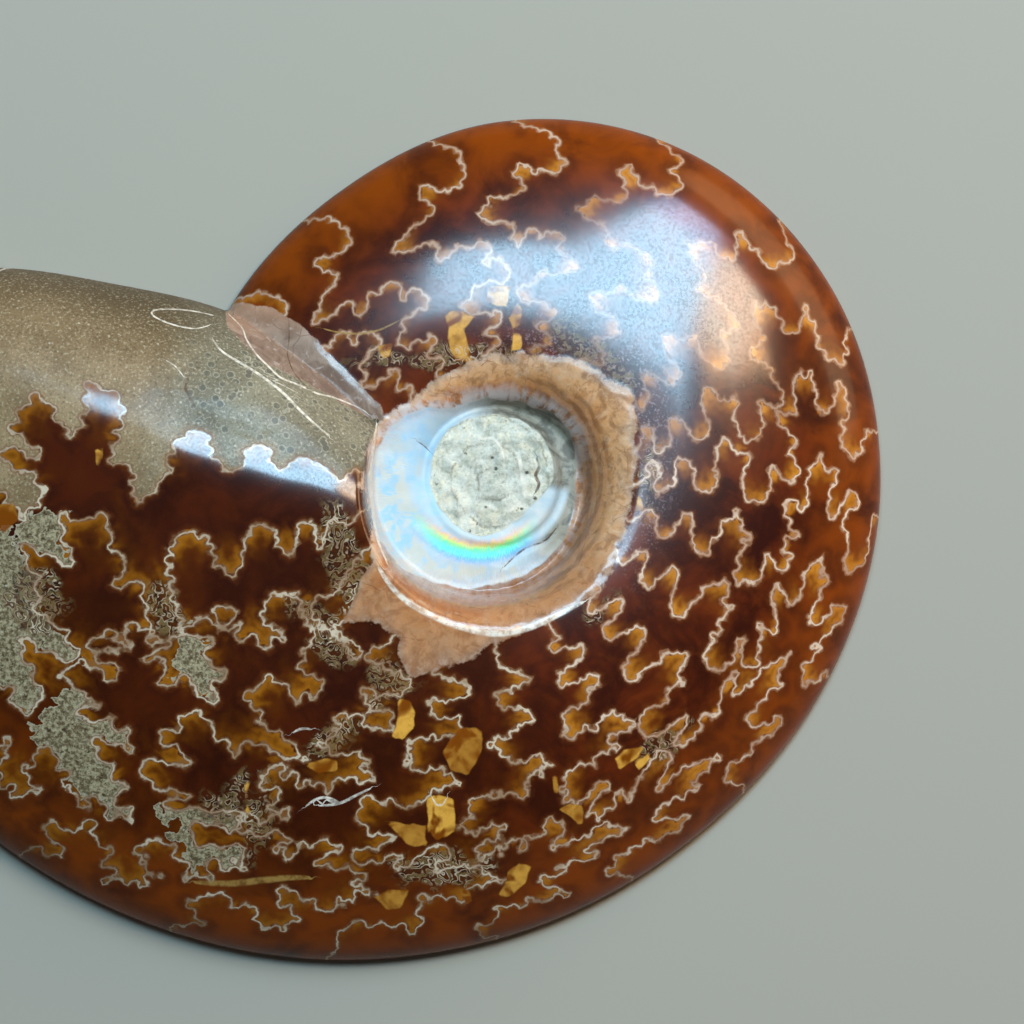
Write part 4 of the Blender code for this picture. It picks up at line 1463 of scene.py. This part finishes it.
# %% [markdown]
# ## Calcite
#
# The chambers are filled with calcite that iron has stained. Where it is deep it drinks the light and looks
# like dark red wine. Near a seam and in narrow folds it is thin over the bright chamber wall, and the same
# stone looks amber or gold. So the colour follows distance to the seam and narrowness.

# %% Calcite colour
def calcite_group():
    nodes, given, give = new_group("calcite", ("Distance", "Narrow", "Wide", "Chamber", "Rim", "Growth"),
                                   (("Colour", COLOUR),))
    place = nodes.place()
    clouds = nodes.noise(place, 6.0, 4.0, 0.6, 0.6)
    wisps = nodes.noise(place, 2.0, 2.0, 0.5, 0.8)
    old = nodes.step(given["Growth"], 0.58, 0.72)
    deep = nodes.mix(nodes.step(clouds, 0.38, 0.68), colour(46, 12, 6), colour(98, 36, 10))
    deep = nodes.mix(given["Chamber"] * 0.3, deep, colour(92, 36, 2))
    deep = nodes.mix(nodes.step(wisps, 0.5, 0.75) * 0.25, deep, colour(104, 46, 12))
    deep = nodes.mix(old * 0.6, deep, colour(42, 12, 1))
    # Painted glow: the thin rim is lit amber, as if light shone through it from behind.
    painted_rim_glow = nodes.step(given["Rim"], 0.72, 1.02) * nodes.step(clouds, 0.15, 0.6)
    deep = nodes.mix(painted_rim_glow * 0.9, deep, colour(132, 58, 2))
    inside = nodes.larger(nodes.step(given["Narrow"], 0.02, 0.4), nodes.step(given["Wide"], 0.0, 0.42))
    # Painted shade: outside the tip of a fold, close to the seam, the calcite is darkened as if the chamber
    # wall shaded it.
    outside = nodes.step(given["Wide"], 0.02, -0.3) * nodes.step(given["Distance"], 1.8, 0.4)
    deep = nodes.mix(outside * 0.45, deep, colour(44, 12, 6))
    near = nodes.step(given["Distance"], 0.7, 0.1) * nodes.step(wisps, 0.2, 0.7)
    warm = nodes.mix(near * 0.35, deep, colour(122, 60, 16))
    hug = nodes.step(given["Distance"], 1.9, 0.1)
    gold = inside * (hug * 0.9 + 0.1) * nodes.step(wisps, -0.3, 0.6)
    gold = gold * (nodes.step(given["Growth"], 0.0, 0.3) * 0.4 + 0.6)
    bright = nodes.step(given["Distance"], 1.1, 0.1) * nodes.step(clouds, 0.1, 0.6) * inside
    amber = nodes.mix(old, colour(112, 52, 8), colour(98, 46, 2))
    lit = nodes.mix(old, colour(192, 122, 34), colour(156, 94, 16))
    give(Colour=nodes.mix(gold, warm, nodes.mix(bright, amber, lit)))
    return nodes.tree


CALCITE = built(calcite_group)

# %% [markdown]
# ## Sandstone
#
# Sand came into the open last chamber and set. Polished, it's brown and smooth with bright and dark grains.
# Close to the navel it's greyer, and the larger grains fell out and left pits.

# %% Sand colour and grain height
def sand_group():
    nodes, given, give = new_group("sandstone", ("Pitted", "Lip", "Leaf"),
                                   (("Colour", COLOUR), ("Height", NUMBER)))
    place = nodes.place()
    clouds = nodes.noise(place, 5.0, 4.0, 0.6)
    fine = nodes.noise(place, 0.22, 2.0, 0.6)
    smooth = nodes.mix(nodes.step(clouds, 0.3, 0.7), colour(119, 96, 65), colour(151, 126, 91))
    # Painted shade: the sand darkens towards the rounded lip of the mouth, where the surface turns away from
    # the light.
    smooth = nodes.mix(nodes.step(given["Lip"], 9.5, 1.0), smooth, colour(80, 66, 44))
    grey = nodes.mix(nodes.step(clouds, 0.3, 0.7), colour(103, 96, 77), colour(131, 124, 102))
    body = nodes.mix(given["Pitted"], smooth, grey)
    grit = nodes.noise(place, 0.36, 3.0, 0.65)
    olive = nodes.mix(nodes.step(grit, 0.38, 0.64), colour(92, 76, 50), colour(160, 146, 112))
    body = nodes.mix(given["Leaf"], body, olive)
    body = nodes.mix(nodes.step(fine, 0.52, 0.75) * 0.5, body, colour(196, 182, 152))
    body = nodes.mix(nodes.step(fine, 0.45, 0.3) * 0.55, body, colour(66, 56, 42))
    cell = nodes.cells(place, 0.85)
    chosen = nodes.step(nodes.noise(place, 2.0, 2.0), 0.44, 0.52)
    # Painted shade: these pits are only painted, and their darker grey stands for the shade inside them.
    pit_shade = nodes.step(cell, 0.36, 0.24) * chosen * given["Pitted"]
    body = nodes.mix(pit_shade * 0.7, body, colour(84, 82, 72))
    ring = nodes.step(abs(cell - 0.4), 0.06, 0.02) * chosen * given["Pitted"]
    body = nodes.mix(ring * 0.35, body, colour(176, 172, 152))
    bright = nodes.step(cell, 0.16, 0.08) * (1.0 - chosen)
    body = nodes.mix(bright * 0.35, body, colour(222, 212, 188))
    give(Colour=body, Height=fine)
    return nodes.tree


SAND = built(sand_group)

# %% [markdown]
# ## Old shell, pearl and plug
#
# The zones in the navel lie in rings around its middle, so their streaks and bands are drawn by direction
# and distance from there instead of by x and y. One small node group works them out for all three.

# %% Direction and distance from the middle of the navel
def navel_group():
    nodes, _, give = new_group("around_navel", (), (("Direction", NUMBER), ("Distance", NUMBER)))
    x, y = (nodes.add("ShaderNodeSeparateXYZ", {0: nodes.place()}, output=axis) for axis in (0, 1))
    x = x - PLUG_CENTRE[0]
    direction = nodes.math("ARCTAN2", y, x) * (180.0 / math.pi)
    give(Direction=direction, Distance=nodes.math("SQRT", x * x + y * y))
    return nodes.tree


NAVEL = built(navel_group)


def around(nodes, stretch, size, detail=3.0):
    """Noise drawn out along the coil or across it: stretch is how much finer it is in direction."""
    direction, distance = nodes.group(NAVEL)
    vector = nodes.add("ShaderNodeCombineXYZ", {0: direction * 0.1 * stretch, 1: distance})
    return nodes.noise(vector, size, detail, 0.6)


# %% [markdown]
# What is left of the shell around the navel is brown and half clear, with fine streaks across the coil and
# frosted edges. Its colour runs over a ramp from the outer edge inwards, and clouds, cracks and a fringe of
# pale streaks are laid over that.

# %% Old shell colour
def shell_group():
    nodes, given, give = new_group("old_shell", ("Edge", "Inner", "Strip"),
                                   (("Colour", COLOUR), ("Height", NUMBER)))
    place = nodes.place()
    direction, distance = nodes.group(NAVEL)
    up = nodes.add("ShaderNodeSeparateXYZ", {0: place}, output=1)
    streaks = around(nodes, 3.0, 1.6, 5.0)
    clouds = nodes.noise(place, 2.6, 5.0, 0.62, 1.0)
    mottle = nodes.noise(place, 0.7, 4.0, 0.65, 0.6)
    across = given["Edge"] / (given["Edge"] + given["Inner"] + 0.01)
    shifted = across + (clouds - 0.5) * 0.7
    body = nodes.ramp(shifted, (0.0, colour(150, 122, 98)), (0.2, colour(198, 152, 110)),
                      (0.5, colour(204, 146, 94)), (0.75, colour(180, 114, 66)),
                      (0.92, colour(164, 120, 88)), (1.0, colour(172, 158, 142)))
    smoke = nodes.noise(place, 1.7, 4.0, 0.6, 1.4)
    body = nodes.mix(nodes.step(smoke, 0.52, 0.38) * 0.5, body, colour(128, 84, 54))
    body = nodes.mix(nodes.step(mottle, 0.48, 0.36) * 0.35, body, colour(128, 88, 58))
    body = nodes.mix(nodes.step(mottle, 0.54, 0.7) * 0.45, body, colour(214, 182, 148))
    body = nodes.mix(nodes.step(streaks, 0.5, 0.66) * 0.22, body, colour(222, 190, 156))
    body = nodes.mix(nodes.step(up, -4.0, -9.0) * 0.5, body, colour(136, 84, 50))
    ridge = nodes.math("SINE", distance * 7.0 + clouds * 9.0)
    inside = nodes.step(given["Inner"], 3.4, 2.0) * nodes.step(abs(direction), 90.0, 50.0)
    body = nodes.mix(inside * 0.55, body,
                     nodes.mix(nodes.step(ridge, -0.6, 0.6), colour(118, 76, 46), colour(178, 124, 78)))
    strip_paint = nodes.mix(nodes.step(clouds, 0.35, 0.7), colour(112, 90, 76), colour(152, 130, 112))
    strip_paint = nodes.mix(nodes.step(mottle, 0.58, 0.7) * 0.5, strip_paint, colour(188, 174, 164))
    strip_paint = nodes.mix(nodes.step(up, 11.0, 15.0) * 0.6, strip_paint, colour(186, 140, 108))
    body = nodes.mix(given["Strip"], body, strip_paint)
    crack_cells = nodes.cells(nodes.warped(place, 2.5, 1.2), 4.2, "DISTANCE_TO_EDGE")
    cracks = nodes.step(crack_cells, 0.016, 0.0) * nodes.step(clouds, 0.48, 0.56)
    body = nodes.mix(cracks * 0.5, body, colour(96, 62, 44))
    border = nodes.step(given["Edge"], 1.0, 0.05) * nodes.step(mottle, 0.4, 0.6)
    border = border * (1.0 - given["Strip"] * 0.8) * 0.45
    body = nodes.mix(border, body, colour(180, 156, 136))
    fringe = nodes.step(given["Inner"], 1.6, 0.2) * nodes.step(streaks, 0.36, 0.56)
    fringe = fringe * (0.85 - given["Strip"]) * (nodes.step(up, 0.0, 5.0) * 0.7 + 0.25)
    body = nodes.mix(nodes.larger(fringe, 0.0), body, colour(200, 190, 186))
    give(Colour=body, Height=mottle * 0.6)
    return nodes.tree


SHELL = built(shell_group)

# %% [markdown]
# Inside the wall the older turn still has its pearly lining. Real pearl is coloured by thin layers, and its
# colours move with the light. A reusable part needs a look that holds still, so the bands are painted with
# a ramp, around the navel and strongest in one direction.

# %% Pearl colour
RAINBOW_DIRECTION = -100.0
RAINBOW_INSIDE = 5.45      # where the bands start in that direction, in millimetres
RAINBOW_DRIFT = -0.0183    # and how that changes per degree
RAINBOW_WIDTH = 1.9


def pearl_group():
    nodes, given, give = new_group("pearl", ("Edge",), (("Colour", COLOUR), ("Height", NUMBER)))
    place = nodes.place()
    direction, distance = nodes.group(NAVEL)
    clouds = nodes.noise(place, 2.0, 4.0, 0.6, 0.7)
    patches = nodes.noise(place, 1.5, 5.0, 0.62, 0.5)
    lines = around(nodes, 9.0, 0.7, 3.0)
    body = nodes.mix(nodes.step(clouds, 0.35, 0.65), colour(176, 194, 198), colour(204, 208, 204))
    left = nodes.step(abs(direction), 105.0, 150.0)
    body = nodes.mix(left * nodes.step(clouds, 0.3, 0.55), body, colour(158, 194, 214))
    off = abs(direction - RAINBOW_DIRECTION)
    off = nodes.smaller(off, 360.0 - off)
    outer = nodes.step(distance, 6.2, 8.2) * nodes.step(off, 120.0, 70.0)
    cream = nodes.step(patches, 0.42, 0.58) * (outer + 0.15)
    body = nodes.mix(nodes.smaller(cream, 0.75), body, colour(206, 198, 178))
    frost = nodes.step(given["Edge"], 1.6, 0.2) * nodes.step(lines, 0.4, 0.6)
    body = nodes.mix(frost * 0.7, body, colour(196, 184, 184))
    away = abs(direction - 22.0)
    tongue = nodes.step(direction, -4.0, -14.0) * nodes.step(distance, 6.7, 6.2)
    # On the right the pearl gives way to dull grey grit, and its darker tone there is partly painted shade
    # from the wall beside it.
    dull = nodes.step(away, 92.0, 60.0) * (1.0 - tongue)
    grit = nodes.mix(nodes.step(patches, 0.4, 0.6), colour(92, 82, 62), colour(150, 142, 122))
    body = nodes.mix(dull * 0.9, body, grit)
    start = (direction - RAINBOW_DIRECTION) * RAINBOW_DRIFT + RAINBOW_INSIDE
    wobble = (lines - 0.5) * 1.7
    hue = (distance + wobble - start) / RAINBOW_WIDTH
    rainbow = nodes.ramp(hue, (0.0, colour(226, 176, 168)), (0.14, colour(240, 206, 110)),
                         (0.32, colour(130, 246, 156)), (0.58, colour(110, 240, 232)),
                         (0.82, colour(128, 184, 232)), (1.0, colour(186, 200, 214)))
    band = nodes.step(hue, -0.12, 0.06) * nodes.step(hue, 1.25, 0.85)
    strength = nodes.step(off, 62.0, 22.0) * nodes.step(lines, 0.25, 0.5)
    body = nodes.mix(strength * band, body, rainbow)
    give(Colour=body, Height=lines)
    return nodes.tree


PEARL_PAINT = built(pearl_group)

# %% [markdown]
# The plug in the middle is hardened sand of a greenish grey. The first turns of the coil still show in it as
# a worn groove. A spiral is simply a distance that grows with direction, so one sine draws all its turns.

# %% Plug colour
COIL_STEP = 2.3            # between the turns of the groove in the plug, in millimetres


def plug_group():
    nodes, _, give = new_group("plug", (), (("Colour", COLOUR), ("Height", NUMBER)))
    place = nodes.place()
    direction, distance = nodes.group(NAVEL)
    clouds = nodes.noise(place, 1.8, 5.0, 0.62, 0.8)
    fine = nodes.noise(place, 0.25, 2.0, 0.7)
    swirl = nodes.noise(nodes.warped(place, 2.5, 1.5), 1.1, 5.0, 0.66, 0.6)
    body = nodes.mix(nodes.step(clouds, 0.35, 0.62), colour(172, 172, 154), colour(206, 204, 188))
    cream = nodes.step(swirl, 0.48, 0.6) * nodes.step(distance, 1.6, 3.6)
    body = nodes.mix(cream * 0.6, body, colour(222, 210, 178))
    body = nodes.mix(nodes.step(swirl, 0.42, 0.34) * 0.35, body, colour(124, 118, 96))
    coil = distance / COIL_STEP - direction / 360.0 + (clouds - 0.5) * 0.5
    coil = abs(nodes.math("SINE", coil * math.pi))
    worn = nodes.step(coil, 0.28, 0.0) * nodes.step(swirl, 0.4, 0.56)
    body = nodes.mix(worn * 0.6, body, colour(116, 104, 80))
    body = nodes.mix(nodes.step(fine, 0.5, 0.7) * 0.4, body, colour(232, 228, 208))
    body = nodes.mix(nodes.step(fine, 0.44, 0.3) * 0.45, body, colour(110, 106, 88))
    # Painted shade: the dark spots stand for the shade inside small pits in the plug.
    pits = nodes.step(nodes.cells(place, 1.1), 0.2, 0.1) * nodes.step(clouds, 0.52, 0.46)
    body = nodes.mix(pits * 0.85, body, colour(52, 48, 38))
    give(Colour=body, Height=fine + swirl * 2.0)
    return nodes.tree


PLUG_PAINT = built(plug_group)

# %% [markdown]
# ## The polished outside
#
# The layers go on from the bottom up, each in its own function: calcite and sand, the crumpled places, gold
# flakes, the seams, dust with painted sheen, then the old shell, pearl and plug, and thin strokes over all.
# On the real fossil the wheel cut through these layers, so they meet edge to edge. Here each one is paint
# over the last, which is the easiest way to keep their borders sharp.

# %% Stone, crumpled places and flakes
FRILL_SIZE, FRILL_DEPTH = 0.62, 0.36       # small frills on the seams, in millimetres
LOOP_TURNS = 35.0                          # how closely the squiggles in a crumpled place follow each other


def frilled(nodes, place, signed, turn):
    """Give the line where a signed distance is zero small frills, round on the side of the mouth."""
    cell = nodes.cells(nodes.warped(place, 0.8, 0.2), FRILL_SIZE)
    frill = cell * cell - 0.2
    push = nodes.noise(place, 0.8, 2.0, 0.6) - 0.5
    return signed - frill * turn * FRILL_DEPTH + push * 0.12


def stone(nodes, distance, fine_grain):
    """Calcite, with sand in the last chamber and in some lobes of the left side."""
    body = nodes.group(CALCITE, Distance=distance, Narrow=nodes.number("narrow"),
                       Wide=nodes.number("narrow_wide"), Chamber=nodes.number("chamber"),
                       Rim=nodes.number("rim_share"), Growth=nodes.number("growth"))
    frayed = nodes.number("leaf") + (fine_grain - 0.5) * 1.2
    leaf = nodes.step(frayed, -0.02, 0.08)
    sandy = nodes.larger(nodes.step(nodes.number("sand"), -0.05, 0.05), leaf)
    sand_colour, sand_height = nodes.group(SAND, Pitted=nodes.number("pitted"), Lip=nodes.number("lip"),
                                           Leaf=leaf)
    body = nodes.mix(sandy, body, sand_colour)
    # Painted shade: the dark specks stand for the shade inside the pores of the sand-filled lobes.
    pore_shade = nodes.step(fine_grain, 0.41, 0.34) * leaf
    body = nodes.mix(pore_shade * 0.8, body, colour(48, 32, 18))
    leaf_edge = nodes.step(abs(frayed - 0.1), 0.14, 0.04)
    body = nodes.mix(leaf_edge * 0.6, body, colour(176, 164, 138))
    return body, sandy, sand_height


def crumpled(nodes, place, body, grain, fine_grain):
    """Dark crumbs where the folds crumpled, and the pale squiggles among them."""
    frond = nodes.number("frond")
    loops = nodes.noise(nodes.warped(place, 1.1, 0.5), 1.35, 2.0, 0.45)
    loops = nodes.math("SINE", loops * LOOP_TURNS)
    crumbs = nodes.mix(nodes.step(loops, -0.3, 0.3), colour(70, 34, 10), colour(112, 92, 56))
    crumbs = nodes.mix(nodes.step(fine_grain, 0.5, 0.38), crumbs, colour(40, 24, 14))
    body = nodes.mix(nodes.step(frond, -0.3, 0.5) * 0.8, body, crumbs)
    squiggle = nodes.step(abs(loops), 0.62, 0.2) * nodes.step(frond, 0.0, 0.4)
    return body, squiggle * nodes.step(grain, 0.35, 0.6)


def flaked(nodes, place, body, grain):
    """Flakes of clear golden calcite, each with a few facets painted lit and shaded."""
    on_flake = nodes.step(nodes.number("flake"), -0.06, 0.12)
    # Painted light and shade: some facets are painted bright and the rest dark, and how bright a flake is
    # sets how much of it is lit.
    facet_light_and_shade = nodes.noise(place, 2.2, 2.0, 0.5, 0.8)
    facet_light_and_shade = nodes.step(facet_light_and_shade, 0.36, 0.58) * (nodes.number("flake_shade") + 0.1)
    gold = nodes.mix(facet_light_and_shade, colour(124, 62, 4), colour(224, 164, 66))
    gold = nodes.mix(nodes.step(grain, 0.6, 0.3) * 0.35, gold, colour(120, 62, 6))
    return nodes.mix(on_flake * 0.92, body, gold), on_flake


print("layers of stone:", [layer.__name__ for layer in (stone, crumpled, flaked)])

# %% [markdown]
# A seam is a cream line with a brown edge. It's wider and paler in the old part of the shell, and rubbed
# thin on the crown of the young part. Close to the navel's wall the polisher's wheel didn't reach, so a
# dusty band is left there, and the band takes the shine off as well. Its pale specks are partly dust and
# partly painted sheen, the speckled halo of the window's reflection.

# %% Seams, dust and painted sheen, navel and strokes
OLD_PART = (0.56, 0.70)            # where the shell counts as old, in turns of growth
RUBBED_START, RUBBED_END = (0.16, 0.22), (0.42, 0.34)
STROKE_SHADES = {"light": (226, 216, 198), "dark": (84, 56, 34), "gold": (158, 122, 62)}


def seamed(nodes, body, distance, patchy, on_flake, squiggle):
    """The seams and the squiggles."""
    growth = nodes.number("growth")
    old = nodes.step(growth, *OLD_PART)
    drawn = nodes.step(nodes.number("sand"), 0.4, 0.2) * (1.0 - on_flake)
    rubbed = nodes.step(growth, *RUBBED_START) * nodes.step(growth, *RUBBED_END)
    rubbed = rubbed * nodes.step(nodes.number("rim_share"), 0.9, 0.78)
    edge = nodes.step(distance, 0.28, 0.12) * drawn * (1.0 - rubbed * 0.6)
    body = nodes.mix(edge * 0.72, body, nodes.mix(old, colour(150, 106, 76), colour(118, 82, 54)))
    dim = nodes.mix(old, colour(172, 134, 108), colour(148, 118, 90))
    bright = nodes.mix(old, colour(222, 198, 172), colour(210, 192, 164))
    cream = nodes.mix(nodes.step(patchy, 0.36, 0.66), dim, bright)
    cream = nodes.mix(nodes.step(growth, 0.42, 0.3) * 0.5, cream, colour(160, 126, 100))
    line = nodes.larger(nodes.step(distance, 0.13, 0.03) * drawn, squiggle * 0.95)
    return nodes.mix(line * (1.0 - rubbed * 0.75) * 0.86, body, cream)


def dusted_with_sheen(nodes, body, dots, grain):
    """The dusty band beside the navel's wall, whose pale specks are partly painted sheen."""
    growth = nodes.number("growth")
    dust_and_sheen = nodes.step(growth, 0.1, 0.22) * nodes.step(growth, 0.56, 0.44)
    dust_and_sheen = dust_and_sheen * nodes.step(nodes.number("wall"), -5.0, -0.3)
    # Painted sheen: the pale specks also stand for the speckled halo of the window's reflection on the
    # polish.
    dust_and_sheen_specks = dust_and_sheen * nodes.step(dots, 0.5, 0.68) * nodes.step(grain, 0.4, 0.6)
    return nodes.mix(dust_and_sheen_specks * 0.7, body, colour(150, 122, 118)), dust_and_sheen


def navel_zones(nodes, body, fine_grain):
    """Old shell, pearl and plug. Returns the body and, for each zone, where it is and how high."""
    wall, strip, pearl, plug = (nodes.number(name) for name in ("wall", "strip", "pearl", "plug"))
    ragged_edge = (fine_grain - 0.5) * 0.9
    on_strip = nodes.step(strip + ragged_edge * 0.35, -0.06, 0.1)
    on_shell = nodes.larger(nodes.step(wall + ragged_edge, -0.1, 0.25), on_strip)
    shell_edge = nodes.larger(nodes.larger(wall, strip), 0.0)
    shell = nodes.group(SHELL, Edge=shell_edge, Inner=nodes.larger(pearl * -1.0, 0.0), Strip=on_strip)
    zones = []
    for share, (paint, tall) in ((on_shell, shell),
                                 (nodes.step(pearl, -0.05, 0.12), nodes.group(PEARL_PAINT, Edge=pearl)),
                                 (nodes.step(plug, -0.05, 0.12), nodes.group(PLUG_PAINT))):
        body = nodes.mix(share, body, paint)
        zones.append((share, tall))
    return body, zones


def stroked(nodes, body, grain):
    """The thin strokes, a little worn; two of the pale ones are painted highlights."""
    stroke = nodes.step(abs(nodes.number("stroke")), 1.25, 0.5)
    stroke = stroke * (nodes.step(grain, 0.38, 0.6) * 0.6 + 0.3)
    for kind, shade in STROKE_SHADES.items():
        body = nodes.mix(stroke * nodes.number("stroke_" + kind), body, colour(*shade))
    return body


print("strokes are drawn in", list(STROKE_SHADES))

# %% [markdown]
# The polish is a clear coat over the stone. It's softer than glass, so a window's image has fuzzy edges,
# and fine scuffs break it up. Sand and pearl have no coat and the old shell has half of one. A fine bump
# roughens only the sand, the shell, the pearl and the plug.

# %% Outside material
STONE_ROUGHNESS = 0.24
LAYER_ROUGHNESS = (0.5, 0.26, 0.38, 0.7)        # sand, old shell, pearl, plug
BUMP_DISTANCE = 0.08 * MM
CLEAR_COAT = {"IOR": 1.3, "Specular IOR Level": 0.4, "Coat IOR": 1.5, "Coat Roughness": 0.13}


def polished_outside():
    material, nodes, shader = new_material("polished_fossil")
    place = nodes.place()
    grain, fine_grain = nodes.noise(place, 0.8, 4.0, 0.7), nodes.noise(place, 0.45, 3.0, 0.65)
    patchy, dots = nodes.noise(place, 3.0, 4.0, 0.6), nodes.noise(place, 0.22, 1.0)
    distance = abs(frilled(nodes, place, nodes.number("seam"), nodes.number("turn")))
    body, sandy, sand_height = stone(nodes, distance, fine_grain)
    body, squiggle = crumpled(nodes, place, body, grain, fine_grain)
    body, on_flake = flaked(nodes, place, body, grain)
    body = seamed(nodes, body, distance, patchy, on_flake, squiggle)
    body, dust_and_sheen = dusted_with_sheen(nodes, body, dots, grain)
    body, zones = navel_zones(nodes, body, fine_grain)
    nodes.feed(shader.inputs["Base Color"], stroked(nodes, body, grain))
    sandy = sandy * (1.0 - nodes.step(nodes.number("sand"), 5.0, 2.0) * 0.1)
    rough, tall = STONE_ROUGHNESS, 0.0
    for (share, height_here), roughness in zip([(sandy, sand_height * 0.35), *zones], LAYER_ROUGHNESS):
        rough = nodes.between(share, rough, roughness)
        tall = nodes.between(share, tall, height_here)
    nodes.feed(shader.inputs["Roughness"], rough)
    bump = nodes.add("ShaderNodeBump", {"Height": tall, "Strength": 0.35, "Distance": BUMP_DISTANCE},
                     output="Normal")
    nodes.feed(shader.inputs["Normal"], bump)
    (on_shell, _), (on_pearl, _), _ = zones
    dull = nodes.larger(nodes.larger(sandy, on_pearl), on_shell * 0.5)
    flank = 1.0 - nodes.step(nodes.number("rim_share"), 0.8, 1.02)
    scuffs = nodes.step(dots, 0.3, 0.62) * 0.4 + 0.7
    nodes.feed(shader.inputs["Coat Weight"], (1.0 - dull) * flank * scuffs * (1.0 - dust_and_sheen * 0.75))
    for name, value in CLEAR_COAT.items():
        shader.inputs[name].default_value = value
    return material


mesh.materials.append(polished_outside())
print(mesh.materials[0].name, "has", len(mesh.materials[0].node_tree.nodes), "nodes")

# %% [markdown]
# ## The cut face
#
# Seen only from below: spiral walls and chamber walls as pale lines, calcite between them, sand in the last
# chamber. Cut stone is polished flat, so it has one even shine.

# %% Cut face material
def cut_face():
    material, nodes, shader = new_material("cut_face")
    distance = nodes.smaller(abs(nodes.number("spiral")), abs(nodes.number("septum")))
    body = nodes.group(CALCITE, Distance=distance, Narrow=0.0, Wide=0.0, Chamber=nodes.number("chamber"),
                       Rim=0.0, Growth=0.5)
    sand_colour, _ = nodes.group(SAND, Pitted=0.0, Lip=20.0, Leaf=0.0)
    body = nodes.mix(nodes.number("sand"), body, sand_colour)
    body = nodes.mix(nodes.step(distance, 0.9, 0.5) * 0.5, body, colour(190, 150, 100))
    body = nodes.mix(nodes.step(distance, 0.34, 0.2), body, colour(214, 200, 172))
    nodes.feed(shader.inputs["Base Color"], body)
    shader.inputs["Roughness"].default_value = 0.25
    return material


mesh.materials.append(cut_face())
print(mesh.materials[1].name, "has", len(mesh.materials[1].node_tree.nodes), "nodes")
